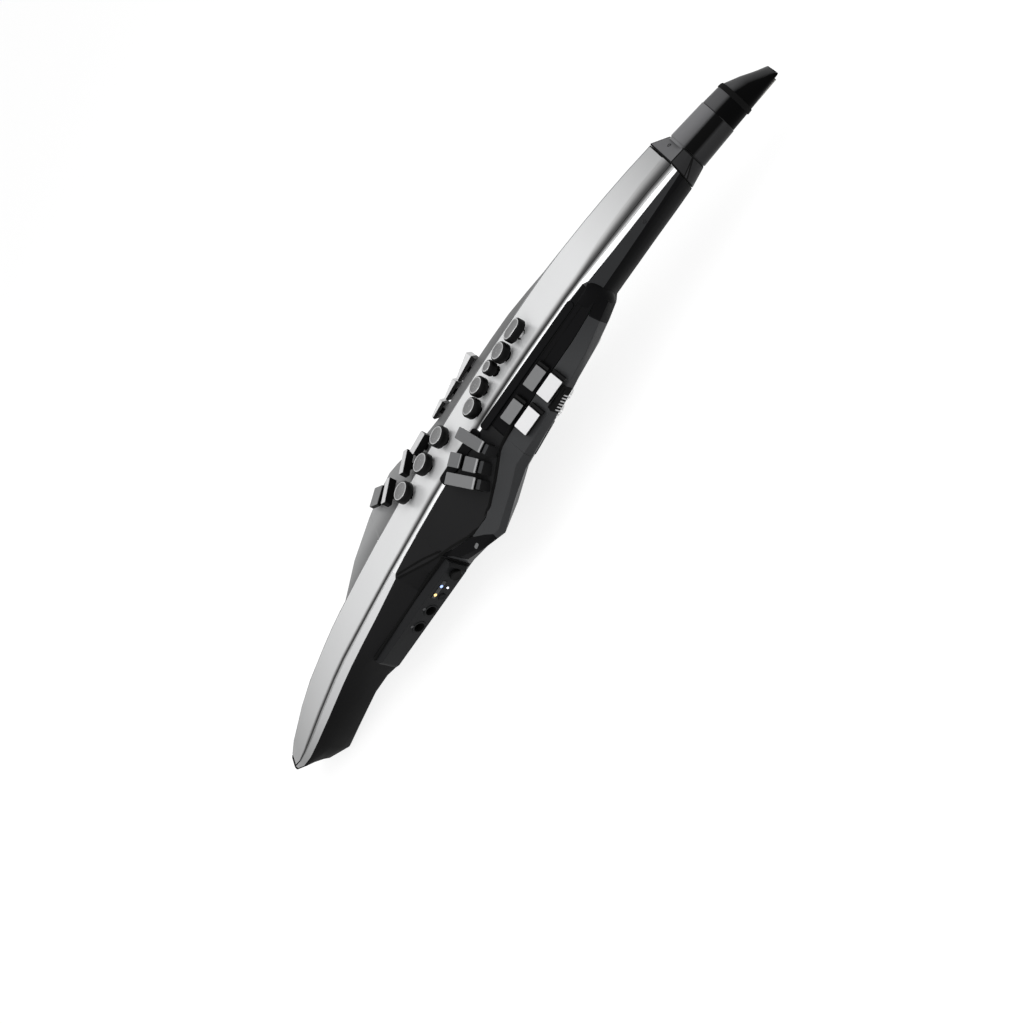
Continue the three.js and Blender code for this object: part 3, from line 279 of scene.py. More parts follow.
@dataclass(frozen=True)
class SatinMetal:
    """Silver metallic finish, brushed very finely along the body."""

    name: str
    color: Point
    roughness: float = 0.3
    metal: float = 0.8
    brush: float = 0.12 * MM
    coat: float = 0.3
    # Painted shade: shares of the colour at places along X, and in cross at places across Y.
    painted_shade: Tones = ()
    cross: Tones = ()

    def make(self) -> bpy.types.Material:
        """Builds the material."""
        recipe = Recipe(self.name)
        strokes = recipe.noise(self.brush, (0.02, 1.0, 1.0), 2.0)
        flake = recipe.noise(0.25 * MM, detail=1.0)
        cloud = recipe.noise(40 * MM)
        low = tuple(c * 0.93 for c in self.color)
        high = tuple(min(1.0, c * 1.04) for c in self.color)
        tone = strokes * 0.35 + flake * 0.25 + cloud * 0.4
        color = recipe.blend(tone, low, high)
        if self.painted_shade:
            color = recipe.paint_shade_along(color, self.painted_shade)
        if self.cross:
            color = recipe.paint_shade_along(color, self.cross, "Y")
        recipe.paint("Base Color", color)
        recipe.paint("Roughness", strokes * 0.08 + cloud * 0.05 + (self.roughness - 0.06))
        recipe.paint("Metallic", self.metal)
        recipe.paint("Coat Weight", self.coat)
        recipe.paint("Coat Roughness", 0.2)
        recipe.bump(strokes, 0.004 * MM)
        return recipe.material


@dataclass(frozen=True)
class FacingShaded:
    """Moulded plastic with painted light and shade: its tone follows how far its surface faces up, from 0
    to 1.
    """

    name: str
    stops: Tones
    roughness: float = 0.35
    gloss: float = 0.15

    def make(self) -> bpy.types.Material:
        """Builds the material."""
        recipe = Recipe(self.name)
        fine = recipe.noise(0.4 * MM, detail=3.0)
        share = recipe.facing("Z") * 0.5 + fine * 0.02 + 0.49
        painted_shade = [(position, (tone, tone, tone * 1.03)) for position, tone in self.stops]
        recipe.paint("Base Color", recipe.ramp(share, painted_shade))
        recipe.paint("Roughness", fine * 0.08 + (self.roughness - 0.04))
        recipe.paint("Specular IOR Level", self.gloss)
        recipe.bump(fine, 0.015 * MM)
        return recipe.material


@dataclass(frozen=True)
class Graded:
    """Silver with painted shade, darkening across a strip from its inner to its outer edge, and along X.
    """

    name: str
    stops: Tones
    painted_shade: Tones
    roughness: float = 0.4

    def make(self) -> bpy.types.Material:
        """Builds the material."""
        recipe = Recipe(self.name)
        flake = recipe.noise(0.25 * MM, detail=1.0)
        settings = {"attribute_name": "across"}
        share = recipe.wire("ShaderNodeAttribute", settings, {}, "Fac") + flake * 0.03 - 0.015
        color = recipe.ramp(share, [(position, (tone,) * 3) for position, tone in self.stops])
        recipe.paint("Base Color", recipe.paint_shade_along(color, self.painted_shade))
        recipe.paint("Roughness", flake * 0.08 + (self.roughness - 0.04))
        recipe.paint("Specular IOR Level", 0.2)
        recipe.bump(flake, 0.004 * MM)
        return recipe.material


@dataclass(frozen=True)
class Pearl:
    """Grey mother-of-pearl inlay under a clear coat."""

    name: str
    low: Point = (0.1, 0.1, 0.103)
    high: Point = (0.2, 0.2, 0.2)
    metal: float = 0.1

    def make(self) -> bpy.types.Material:
        """Builds the material."""
        recipe = Recipe(self.name)
        warp = recipe.noise(3 * MM, detail=3.0)
        inputs = {"Vector": recipe.mapped((1.0, 0.7, 1.0)), "Scale": 260.0, "Distortion": 2.2}
        cloud = recipe.wire("ShaderNodeTexNoise", {}, inputs, 0)
        recipe.paint("Base Color", recipe.blend(cloud * 0.7 + warp * 0.3, self.low, self.high))
        recipe.paint("Roughness", warp * 0.12 + 0.2)
        recipe.paint("Metallic", self.metal)
        recipe.paint("Coat Weight", 0.4)
        recipe.paint("Coat Roughness", 0.06)
        recipe.bump(cloud, 0.02 * MM)
        return recipe.material


@dataclass(frozen=True)
class Rubber:
    """Matt rubber with a dusty grain."""

    name: str
    color: Point = (0.012, 0.012, 0.012)
    roughness: float = 0.82

    def make(self) -> bpy.types.Material:
        """Builds the material."""
        recipe = Recipe(self.name)
        grain = recipe.noise(0.5 * MM, detail=4.0)
        dust = recipe.noise(9 * MM)
        light = tuple(c * 2.2 for c in self.color)
        recipe.paint("Base Color", recipe.blend(dust * 0.5 + grain * 0.3, self.color, light))
        recipe.paint("Roughness", grain * 0.1 + (self.roughness - 0.05))
        recipe.paint("Specular IOR Level", 0.15)
        recipe.bump(grain, 0.05 * MM)
        return recipe.material


@dataclass(frozen=True)
class Striped:
    """Bands across one axis, as on a ribbed or laminated part."""

    name: str
    low: Point
    high: Point
    pitch: float
    letter: str = "X"
    roughness: float = 0.45
    metal: float = 0.0

    def make(self) -> bpy.types.Material:
        """Builds the material."""
        recipe = Recipe(self.name)
        inputs = {0: recipe.axis(self.letter) * (2 * HALF_TURN / self.pitch)}
        wave = recipe.wire("ShaderNodeMath", {"operation": "SINE"}, inputs) * 0.5 + 0.5
        grain = recipe.noise(0.4 * MM, detail=3.0)
        recipe.paint("Base Color", recipe.blend(wave * 0.8 + grain * 0.2, self.low, self.high))
        recipe.paint("Roughness", grain * 0.1 + self.roughness)
        recipe.paint("Metallic", self.metal)
        recipe.bump(wave, 0.12 * MM)
        return recipe.material


@dataclass(frozen=True)
class Glowing:
    """A small lens lit from behind."""

    name: str
    color: Point
    strength: float = 1.6

    def make(self) -> bpy.types.Material:
        """Builds the material."""
        recipe = Recipe(self.name)
        cloud = recipe.noise(0.6 * MM)
        pale = tuple(min(1.0, c * 0.5 + 0.5) for c in self.color)
        recipe.paint("Base Color", self.color)
        recipe.paint("Emission Color", recipe.blend(cloud, self.color, pale))
        recipe.paint("Emission Strength", self.strength)
        recipe.paint("Roughness", cloud * 0.05 + 0.15)
        return recipe.material


@dataclass(frozen=True)
class Board:
    """Circuit board under green lacquer, with traces."""

    name: str

    def make(self) -> bpy.types.Material:
        """Builds the material."""
        recipe = Recipe(self.name)
        inputs = {"Vector": recipe.mapped(), "Scale": 600.0}
        cells = recipe.wire("ShaderNodeTexVoronoi", {"distance": "CHEBYCHEV"}, inputs, 0)
        traces = cells.above(0.42)
        recipe.paint("Base Color", recipe.blend(traces, (0.01, 0.12, 0.05), (0.03, 0.26, 0.1)))
        recipe.paint("Roughness", traces * 0.1 + 0.35)
        recipe.bump(traces, 0.03 * MM)
        return recipe.material


@dataclass(frozen=True)
class Fade:
    """Painted shade: how a finish is darkened along the body, from full tone at one place to a share of
    it at another.
    """

    start: float
    end: float
    share: float
    curve: float
    steps: int = 6

    def painted_shade(self) -> Tones:
        """Shares of the full tone at places along X, rising."""
        ways = [step / self.steps for step in range(self.steps + 1)]
        places = [(self.start + (self.end - self.start) * way, 1 - (1 - self.share) * way ** self.curve)
                  for way in ways]
        return tuple(sorted(places))


# Painted shade: how the panel and the trim darken along X, tuned against the photograph's brightness.
PANEL_PAINTED_SHADE = Fade(-0.04, -0.275, 0.36, 2.2).painted_shade() + Fade(0.125, 0.206, 0.55, 1.5).painted_shade()
TRIM_PAINTED_SHADE = Fade(0.0, -0.275, 0.34, 3.4).painted_shade() + Fade(0.1, 0.21, 0.97, 1.0, 1).painted_shade()


class Look(Enum):
    """Every finish of the part."""

    # The panel's silver, darkened towards both ends by painted shade.
    PANEL = SatinMetal("panel_silver_and_painted_shade", (0.865, 0.87, 0.875), 0.36, 0.25, coat=0.12,
                       painted_shade=PANEL_PAINTED_SHADE)
    # Painted shade: the panel's silver darkening across a strip towards its groove.
    PANEL_EDGE_SHADE = Graded("panel_edge_painted_shade", (
        (0.0, 0.82), (0.2, 0.71), (0.42, 0.45), (0.62, 0.2), (0.8, 0.06), (1.0, 0.02)), PANEL_PAINTED_SHADE)
    # The trim's silver, darkened along the body by painted shade, most towards the tail.
    TRIM = SatinMetal("trim_bright_and_painted_shade", (0.8, 0.802, 0.81), 0.2, 0.6, coat=0.5, painted_shade=TRIM_PAINTED_SHADE)
    # Painted shade: the trim's silver darkening across a strip towards the groove.
    TRIM_EDGE_SHADE = Graded("trim_edge_painted_shade", (
        (0.0, 0.8), (0.15, 0.7), (0.35, 0.38), (0.6, 0.14), (1.0, 0.04)), TRIM_PAINTED_SHADE)
    # Painted shade: the far trim is the silver of the near one, darkened.
    TRIM_FAR_SHADED = SatinMetal("trim_far_painted_shade", (0.22, 0.222, 0.226), 0.3, 0.4)
    # The wing's grey, darkened along and across it by painted shade.
    WING = SatinMetal("wing_grey_and_painted_shade", (0.42, 0.424, 0.428), 0.4, 0.2, coat=0.0,
                      painted_shade=((-0.17, 1.0), (-0.1, 0.8), (-0.05, 0.43), (0.03, 0.33)),
                      cross=((0.022, 0.36), (0.029, 0.52), (0.041, 0.9), (0.05, 1.0)))
    SHELL = Moulded("housing_black_finish", (0.0085, 0.0085, 0.009), 0.42, gloss=0.02)
    # Painted light: grey for faces of the black housing and of the jack panel, standing in for light
    # falling on them.
    LIT_FLANK = Moulded("flank_painted_light", (0.05, 0.051, 0.053), 0.4, gloss=0.05)
    SATIN = Moulded("panel_satin_finish", (0.0125, 0.0125, 0.013), 0.6, 0.5 * MM, 0.03 * MM, gloss=0.1)
    # The tail's black, darkened towards its end by painted shade.
    TAIL = Moulded("tail_black_and_painted_shade", (0.0125, 0.0125, 0.013), 0.6, 0.5 * MM, 0.03 * MM, gloss=0.07,
                   painted_shade=((-0.28, 0.2), (-0.22, 0.35), (-0.2, 0.6), (-0.16, 0.85), (-0.08, 1.0)))
    BULGE = Moulded("bulge_grey_finish", (0.038, 0.039, 0.041), 0.5, 0.4 * MM, 0.03 * MM)
    JACK = Moulded("jack_grey_finish", (0.0135, 0.014, 0.015), 0.5, gloss=0.12)
    # Lighter grey: the power button's own colour, and painted light on the jack panel's upturned faces.
    JACK_STEP = Moulded("jack_step_grey_and_painted_light", (0.021, 0.0215, 0.0225), 0.5, gloss=0.05)
    # Painted light and shade: collar, neck and mouthpiece are lighter or darker by how far each face
    # turns up.
    COLLAR = FacingShaded("collar_painted_facing_shade", ((0.0, 0.045), (0.6, 0.045), (0.85, 0.05), (0.93, 0.18)),
                      gloss=0.05)
    NECK = FacingShaded("neck_painted_facing_shade", (
        (0.0, 0.05), (0.57, 0.055), (0.64, 0.003), (0.83, 0.003), (0.88, 0.15), (1.0, 0.24)), 0.3, 0.04)
    MOUTH = FacingShaded("mouth_black_painted_facing_shade", ((0.0, 0.003), (0.84, 0.003), (0.9, 0.1), (1.0, 0.13)),
                     0.3, 0.02)
    KEY_SIDE = Moulded("key_side_black_finish", (0.004, 0.004, 0.004), 0.4, gloss=0.08)
    KEY_TOP = SatinMetal("key_grey_finish", (0.17, 0.172, 0.175), 0.4, 0.15, coat=0.1)
    KEY_DARK = SatinMetal("key_dark_finish", (0.122, 0.124, 0.127), 0.4, 0.15, coat=0.1)
    # Painted highlight: the lit outer ends of the little finger key bars.
    KEY_TIP_HIGHLIGHT = SatinMetal("key_tip_painted_highlight", (0.32, 0.322, 0.326), 0.35, 0.3)
    # Bright grey: the own colour of bright keys and ribs, and painted light on palm keys 3 and 4.
    KEY_BRIGHT = SatinMetal("key_bright_and_painted_light_finish", (0.66, 0.66, 0.665), 0.3, 0.4)
    KEY_RIM = SatinMetal("key_rim_finish", (0.5, 0.5, 0.505), 0.25, 0.6)
    KEY_PEARL = Pearl("key_pearl_finish")
    RUBBER = Rubber("rubber_black_finish", (0.006, 0.006, 0.006))
    GROOVE = Rubber("groove_black_finish", (0.002, 0.002, 0.002), 0.9)
    REED = Striped("reed_pale_finish", (0.3, 0.29, 0.27), (0.68, 0.66, 0.62), 1.6 * MM)
    METAL = SatinMetal("metal_bright_finish", (0.82, 0.82, 0.82), 0.2, 0.95, coat=0.0)
    ROLLER = Striped("roller_bright_finish", (0.4, 0.4, 0.4), (0.85, 0.85, 0.85), 2.4 * MM, "X",
                     0.25, 0.8)
    DOT = Moulded("print_grey_finish", (0.12, 0.12, 0.125), 0.5)
    SCREW = Moulded("screw_black_finish", (0.015, 0.015, 0.016), 0.3, gloss=0.5, metal=0.6)
    WINDOW = Moulded("window_dark_finish", (0.006, 0.007, 0.009), 0.12, 2 * MM, 0.002 * MM, 0.6)
    BLUE = Glowing("lamp_blue_finish", (0.15, 0.32, 1.0))
    WHITE = Glowing("lamp_white_finish", (0.85, 0.9, 1.0))
    YELLOW = Glowing("lamp_yellow_finish", (1.0, 0.62, 0.08))
    BATTERY = Moulded("battery_wrap_finish", (0.2, 0.2, 0.22), 0.45)
    BOARD = Board("board_green_finish")
    SENSOR = Moulded("sensor_pale_finish", (0.6, 0.6, 0.57), 0.5)


class Finishes:
    """Makes each finish once."""

    _made: dict[Look, bpy.types.Material] = {}

    @classmethod
    def get(cls, look: Look) -> bpy.types.Material:
        """The material of a finish."""
        if look not in cls._made:
            cls._made[look] = look.value.make()
        return cls._made[look]


# Modelling

def between(stops: Sequence[tuple[float, float]], place: float) -> float:
    """The value at a place among rising (place, value) stops, level beyond the first and last."""
    for (start, low), (end, high) in zip(stops, stops[1:]):
        if place < end:
            return low + (high - low) * max(0.0, place - start) / (end - start)
    return stops[-1][1]


class Bench:
    """Modelling steps made with Blender's own operators."""

    RIBBON_DEEP = -0.6 * MM
    RIBBON_PROUD = 0.12 * MM
    SHORTEST_EDGE = 1.6 * MM
    WELD = 1e-7
    NODE_WELD = 2e-6
    FLAT_ANGLE = 0.8

    @staticmethod
    def pick(*objects: bpy.types.Object) -> None:
        """Selects only these objects, the first one active."""
        if bpy.context.mode != "OBJECT":
            bpy.ops.object.mode_set(mode="OBJECT")
        bpy.ops.object.select_all(action="DESELECT")
        for item in objects:
            item.select_set(True)
        bpy.context.view_layer.objects.active = objects[0] if objects else None

    @staticmethod
    def named(name: str) -> bpy.types.Object:
        """Names the new active object and its mesh."""
        made = bpy.context.active_object
        made.name = name
        made.data.name = name
        return made

    @staticmethod
    def choose(piece: bpy.types.Object, kind: str, test: Callable) -> int:
        """Selects vertices, edges or faces of a piece that is in edit mode.

        Args:
            piece: The piece, left in edit mode.
            kind: VERT, EDGE or FACE.
            test: Takes an element, and says whether it is selected.

        Returns:
            How many were selected.
        """
        bpy.ops.mesh.select_mode(type=kind)
        bpy.ops.mesh.select_all(action="DESELECT")
        bpy.ops.object.mode_set(mode="OBJECT")
        mesh = piece.data
        items = {"VERT": mesh.vertices, "EDGE": mesh.edges, "FACE": mesh.polygons}[kind]
        count = 0
        for item in items:
            item.select = bool(test(item))
            count += item.select
        bpy.ops.object.mode_set(mode="EDIT")
        return count

    @staticmethod
    def edge_line(mesh: bpy.types.Mesh, edge: bpy.types.MeshEdge) -> tuple[Vector, Vector]:
        """The middle of an edge, and the way from its first end to its second."""
        first, second = (mesh.vertices[i].co for i in edge.vertices)
        return (first + second) / 2, second - first

    @classmethod
    def settle(cls, piece: bpy.types.Object, placing: Matrix | None = None) -> None:
        """Moves a piece and bakes its place into its mesh.

        Args:
            piece: The piece.
            placing: Where it goes, or None to keep it where it is.
        """
        cls.pick(piece)
        if placing is not None:
            piece.matrix_world = placing @ piece.matrix_world
        bpy.ops.object.transform_apply(location=True, rotation=True, scale=True)

    @classmethod
    def smooth(cls, piece: bpy.types.Object, angle: float = 32.0) -> None:
        """Shades a piece smooth up to an angle in degrees."""
        cls.pick(piece)
        bpy.ops.object.shade_smooth_by_angle(angle=math.radians(angle))

    @classmethod
    def even(cls, piece: bpy.types.Object) -> None:
        """Lets the large faces of a piece keep their shading beside its rounded edges."""
        cls.pick(piece)
        step = piece.modifiers.new("even", "WEIGHTED_NORMAL")
        step.keep_sharp = True
        step.weight = 60
        bpy.ops.object.modifier_apply(modifier=step.name)

    @classmethod
    def dress(cls, piece: bpy.types.Object, *looks: Look) -> None:
        """Gives a piece its finishes, one to a slot."""
        kept = [polygon.material_index for polygon in piece.data.polygons]
        piece.data.materials.clear()
        for look in looks:
            piece.data.materials.append(Finishes.get(look))
        for polygon, index in zip(piece.data.polygons, kept):
            polygon.material_index = min(index, len(looks) - 1)

    @classmethod
    def turned(cls, name: str, profile: Profile, segments: int = 48) -> bpy.types.Object:
        """A closed body of revolution about Z, drawn up from a disc ring by ring.

        Args:
            name: The piece's name.
            profile: Radius and height of each ring, in metres, from the first face to the last.
            segments: Corners of each ring.

        Returns:
            The piece.
        """
        radius, height = profile[0]
        cls.pick()
        bpy.ops.mesh.primitive_circle_add(
            vertices=segments, radius=radius, fill_type="NGON", location=(0, 0, height))
        piece = cls.named(name)
        bpy.ops.object.transform_apply(location=True, rotation=True, scale=True)
        bpy.ops.object.mode_set(mode="EDIT")
        bpy.ops.mesh.select_mode(type="FACE")
        bpy.ops.mesh.select_all(action="SELECT")
        for next_radius, next_height in profile[1:]:
            rise = (0, 0, next_height - height)
            bpy.ops.mesh.extrude_region_move(TRANSFORM_OT_translate={"value": rise})
            ratio = next_radius / radius
            bpy.ops.transform.resize(value=(ratio, ratio, 1), center_override=(0, 0, next_height))
            radius, height = next_radius, next_height
        bpy.ops.mesh.select_all(action="SELECT")
        bpy.ops.mesh.remove_doubles(threshold=cls.WELD)
        bpy.ops.mesh.normals_make_consistent(inside=False)
        bpy.ops.object.mode_set(mode="OBJECT")
        cls.smooth(piece)
        return piece

    @classmethod
    def plate(cls, name: str, size: Point, corner: float, bevel: float,
              base: float = 0.0) -> bpy.types.Object:
        """A plate with rounded corners and softened top and bottom edges.

        Args:
            name: The piece's name.
            size: Length, width and height in metres.
            corner: Radius of its four corners.
            bevel: Size of the softened edges.
            base: Height of its underside.

        Returns:
            The piece, centred on the origin over its underside.
        """
        length, width, height = size
        cls.pick()
        bpy.ops.mesh.primitive_cube_add(size=1, location=(0, 0, base + height / 2))
        piece = cls.named(name)
        piece.scale = (length, width, height)
        bpy.ops.object.transform_apply(location=True, rotation=True, scale=True)
        bpy.ops.object.mode_set(mode="EDIT")
        mesh = piece.data

        def upright(edge: bpy.types.MeshEdge) -> bool:
            """Whether an edge stands along Z."""
            return abs(cls.edge_line(mesh, edge)[1].z) > height * 0.5

        def level(edge: bpy.types.MeshEdge) -> bool:
            """Whether an edge lies round the top or the bottom."""
            return abs(cls.edge_line(mesh, edge)[1].z) < height * 0.01

        if corner:
            cls.choose(piece, "EDGE", upright)
            bpy.ops.mesh.bevel(offset=corner, segments=6, affect="EDGES", clamp_overlap=True)
        if bevel:
            cls.choose(piece, "EDGE", level)
            bpy.ops.mesh.bevel(offset=bevel, segments=3, affect="EDGES", clamp_overlap=True)
        bpy.ops.object.mode_set(mode="OBJECT")
        cls.smooth(piece)
        return piece

    @classmethod
    def bead(cls, name: str, path: Sequence[Point], radius: float) -> bpy.types.Object:
        """A closed round bead along a path.

        Args:
            name: The piece's name.
            path: Its points in millimetres.
            radius: Its radius in metres.

        Returns:
            The piece.
        """
        curve = bpy.data.curves.new(name, "CURVE")
        curve.dimensions = "3D"
        curve.bevel_depth = radius
        curve.bevel_resolution = 2
        curve.use_fill_caps = True
        line = curve.splines.new("POLY")
        line.points.add(len(path) - 1)
        for point, spot in zip(line.points, path):
            point.co = (*(value * MM for value in spot), 1.0)
        drawn = bpy.data.objects.new(name, curve)
        bpy.context.collection.objects.link(drawn)
        cls.pick(drawn)
        bpy.ops.object.convert(target="MESH")
        piece = cls.named(name)
        bpy.ops.object.mode_set(mode="EDIT")
        bpy.ops.mesh.select_all(action="SELECT")
        bpy.ops.mesh.remove_doubles(threshold=cls.WELD)
        bpy.ops.mesh.normals_make_consistent(inside=False)
        bpy.ops.object.mode_set(mode="OBJECT")
        cls.smooth(piece, 50.0)
        return piece

    @classmethod
    def ribbon(cls, name: str, path: Sequence[Vector], across: Vector, width: float,
               shares: Sequence[tuple[float, float]]) -> bpy.types.Object:
        """A flat strip along a path, with a share across it that grades its painted shade.

        Args:
            name: The piece's name.
            path: Its darkest edge, in metres, with X rising.
            across: Which way it reaches from the path.
            width: How far.
            shares: Shares of the width at places along X, in metres.

        Returns:
            The piece.
        """
        cls.pick()
        bpy.ops.mesh.primitive_plane_add(size=1)
        piece = cls.named(name)
        bpy.ops.object.mode_set(mode="EDIT")
        bpy.ops.mesh.select_mode(type="FACE")
        bpy.ops.mesh.select_all(action="SELECT")
        bpy.ops.mesh.delete(type="ONLY_FACE")
        bpy.ops.object.mode_set(mode="OBJECT")
        over = across.cross(Vector((1, 0, 0)))
        over *= math.copysign(1, over.z)
        corners = ((0, cls.RIBBON_DEEP), (width, cls.RIBBON_DEEP), (0, cls.RIBBON_PROUD),
                   (width, cls.RIBBON_PROUD))
        for vertex, (reach, rise) in zip(piece.data.vertices, corners):
            vertex.co = path[0] + across * reach + over * rise
        bpy.ops.object.mode_set(mode="EDIT")
        bpy.ops.mesh.select_all(action="SELECT")
        bpy.ops.mesh.edge_face_add()
        for start, end in zip(path, path[1:]):
            bpy.ops.mesh.extrude_region_move(TRANSFORM_OT_translate={"value": end - start})
        bpy.ops.mesh.select_all(action="SELECT")
        bpy.ops.mesh.normals_make_consistent(inside=False)
        bpy.ops.object.mode_set(mode="OBJECT")
        tone = piece.data.attributes.new("across", "FLOAT", "POINT")
        for vertex in piece.data.vertices:
            nearest = min(path, key=lambda spot: abs(spot.x - vertex.co.x))
            reach = (vertex.co - nearest).dot(across)
            tone.data[vertex.index].value = 1 - reach / width
            vertex.co += across * reach * (between(shares, nearest.x) - 1)
        cls.smooth(piece)
        return piece

    @classmethod
    def part(cls, piece: bpy.types.Object, spot: Point, normal: Point, cut: bool = False) -> None:
        """Parts the faces of a piece along a plane.

        Args:
            piece: The piece.
            spot: A point of the plane.
            normal: The plane's normal.
            cut: Whether what lies on the normal's side is cut off, and the cut closed.
        """
        cls.pick(piece)
        bpy.ops.object.mode_set(mode="EDIT")
        bpy.ops.mesh.select_all(action="SELECT")
        bpy.ops.mesh.bisect(plane_co=spot, plane_no=normal, use_fill=cut, clear_outer=cut)
        bpy.ops.object.mode_set(mode="OBJECT")

    @classmethod
    def draw_back(cls, piece: bpy.types.Object, node: str, most: float) -> None:
        """Draws back to the surface each corner that a bevel threw off it.

        Args:
            piece: The bevelled copy of a CAD node.
            node: The CAD node.
            most: How far from the node's surface a corner may lie.
        """
        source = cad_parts[node].data
        surface = BVHTree.FromPolygons([vertex.co for vertex in source.vertices],
                                       [tuple(face.vertices) for face in source.polygons])
        for vertex in piece.data.vertices:
            spot, _, _, far = surface.find_nearest(vertex.co)
            if far > most:
                vertex.co = spot

    @classmethod
    def mark(cls, piece: bpy.types.Object, slot: int, holds: Callable[[Vector, Vector], bool]) -> None:
        """Gives faces a slot, by their middle and normal."""
        for face in piece.data.polygons:
            if holds(face.center, face.normal):
                face.material_index = slot

    @classmethod
    def slope(cls, piece: bpy.types.Object, low: float, drop: float) -> None:
        """Lowers the half of a key towards the foot.

        Args:
            piece: The piece, still in its own frame.
            low: Corners above this height are lowered.
            drop: How far.
        """
        cls.pick(piece)
        bpy.ops.object.mode_set(mode="EDIT")
        cls.choose(piece, "VERT", lambda vertex: vertex.co.x < 0 and vertex.co.z > low)
        bpy.ops.transform.translate(value=(0, 0, -drop))
        bpy.ops.object.mode_set(mode="OBJECT")

    @classmethod
    def draw_out(cls, piece: bpy.types.Object, reach: float) -> None:
        """Moves the two halves of a round piece apart along X, each by the reach."""
        cls.pick(piece)
        bpy.ops.object.mode_set(mode="EDIT")
        for side in (1, -1):
            cls.choose(piece, "VERT", lambda vertex: vertex.co.x * side > 0)
            bpy.ops.transform.translate(value=(side * reach, 0, 0))
        bpy.ops.object.mode_set(mode="OBJECT")

    @classmethod
    def join(cls, first: bpy.types.Object, *others: bpy.types.Object) -> bpy.types.Object:
        """Joins pieces into the first one."""
        cls.pick(first, *others)
        bpy.ops.object.join()
        return first

    @classmethod
    def from_node(cls, node: str, name: str) -> bpy.types.Object:
        """A merged copy of a CAD node, with flat faces in one piece each.

        Args:
            node: The node's name.
            name: The copy's name.

        Returns:
            The copy.
        """
        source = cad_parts[node]
        cls.pick(source)
        bpy.ops.object.duplicate()
        piece = cls.named(name)
        for key in list(piece.keys()):
            del piece[key]
        piece.parent = None
        cls.pick(piece)
        bpy.ops.object.mode_set(mode="EDIT")
        bpy.ops.mesh.select_all(action="SELECT")
        bpy.ops.mesh.remove_doubles(threshold=cls.NODE_WELD)
        bpy.ops.mesh.dissolve_limited(angle_limit=math.radians(cls.FLAT_ANGLE))
        bpy.ops.object.mode_set(mode="OBJECT")
        for face in piece.data.polygons:
            face.material_index = 0
        return piece

    @classmethod
    def soften(cls, piece: bpy.types.Object, size: float, angle: float = 28.0, slot: int = -1) -> None:
        """Rounds the long sharp edges of a piece and shades it evenly.

        Args:
            piece: The piece.
            size: Width of the rounding in metres.
            angle: Edges sharper than this are rounded, in degrees.
            slot: Material slot of the rounding, or -1 for that of its faces.
        """
        cls.pick(piece)
        mesh = piece.data
        normals: dict[int, list[Vector]] = {}
        for face in mesh.polygons:
            for loop in range(face.loop_start, face.loop_start + face.loop_total):
                normals.setdefault(mesh.loops[loop].edge_index, []).append(face.normal.copy())
        limit = math.radians(angle)

        def sharp(edge: bpy.types.MeshEdge) -> bool:
            """Whether an edge is long and sharp enough."""
            sides = normals.get(edge.index, [])
            if len(sides) != 2 or min(side.length for side in sides) < 0.5:
                return False
            long = cls.edge_line(mesh, edge)[1].length > cls.SHORTEST_EDGE
            return long and sides[0].angle(sides[1]) > limit

        bpy.ops.object.mode_set(mode="EDIT")
        if cls.choose(piece, "EDGE", sharp):
            bpy.ops.mesh.bevel(offset=size, segments=2, affect="EDGES", clamp_overlap=False,
                               material=slot, loop_slide=True)
        bpy.ops.object.mode_set(mode="OBJECT")
        cls.smooth(piece)
        cls.even(piece)

    @classmethod
    def mount(cls, piece: bpy.types.Object, body: str, slot: str, *nodes: str) -> None:
        """Puts a finished piece on its body.

        Args:
            piece: The piece.
            body: The CAD body that it rides on.
            slot: The record's material slot; not used.
            nodes: The CAD nodes that it stands for.
        """
        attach(piece, body)
        if nodes:
            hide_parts(*nodes)
        log.info("%s on %s: %d faces", piece.name, body, len(piece.data.polygons))


def fit(name: str, profile: Profile, segments: int, look: Look, placing: Matrix, body: str, slot: str,
        *nodes: str) -> None:
    """Turns a small fitting, dresses it and puts it in its place.

    Args:
        name: The piece's name.
        profile: Its rings, in metres.
        segments: Corners of each ring.
        look: Its finish.
        placing: Where it goes.
        body: The CAD body that it rides on.
        slot: The record's material slot, passed on to Bench.mount, which does not use it.
        nodes: The CAD nodes that it stands for.
    """
    piece = Bench.turned(name, profile, segments)
    Bench.dress(piece, look)
    Bench.settle(piece, placing)
    Bench.mount(piece, body, slot, *nodes)


def surface_place(spot: Point, normal: Point) -> Matrix:
    """The frame of a small fitting, from a point of the surface in millimetres and its normal."""
    up = Vector(normal).normalized()
    along = (Vector((1, 0, 0)) - up * up.x).normalized()
    turn = Matrix((along, up.cross(along), up)).transposed().to_4x4()
    return Matrix.Translation(Vector(spot) * MM) @ turn


def key_place(along: float, out: float, up: float, roll: float, yaw: float = 0.0) -> Matrix:
    """The frame of a key or fitting, from shares of the part's scale.

    Args:
        along: Place towards the mouthpiece.
        out: Place towards the player's left.
        up: Height.
        roll: Turn about the body's length, in half turns.
        yaw: Turn about the key's own normal, in half turns.

    Returns:
        The frame, with Z out of the surface.
    """
    spot = Vector((along, -out, up)) * PART_SCALE
    turn = Matrix.Rotation(roll * HALF_TURN, 4, "X") @ Matrix.Rotation(-yaw * HALF_TURN, 4, "Z")
    return Matrix.Translation(spot) @ turn


def in_mm(*rings: tuple[float, float]) -> Profile:
    """A profile in metres, from radii and heights in millimetres."""
    return tuple((radius * MM, height * MM) for radius, height in rings)


# Sub-assemblies

HOLLOW_SPOT = Vector((-38.3, -60.6, 37.4)) * MM
HOLLOW_NORMAL = Vector((-0.477, -0.805, 0.35))
HOLLOW_START = -36 * MM
HOLLOW_DEEP = -45 * MM
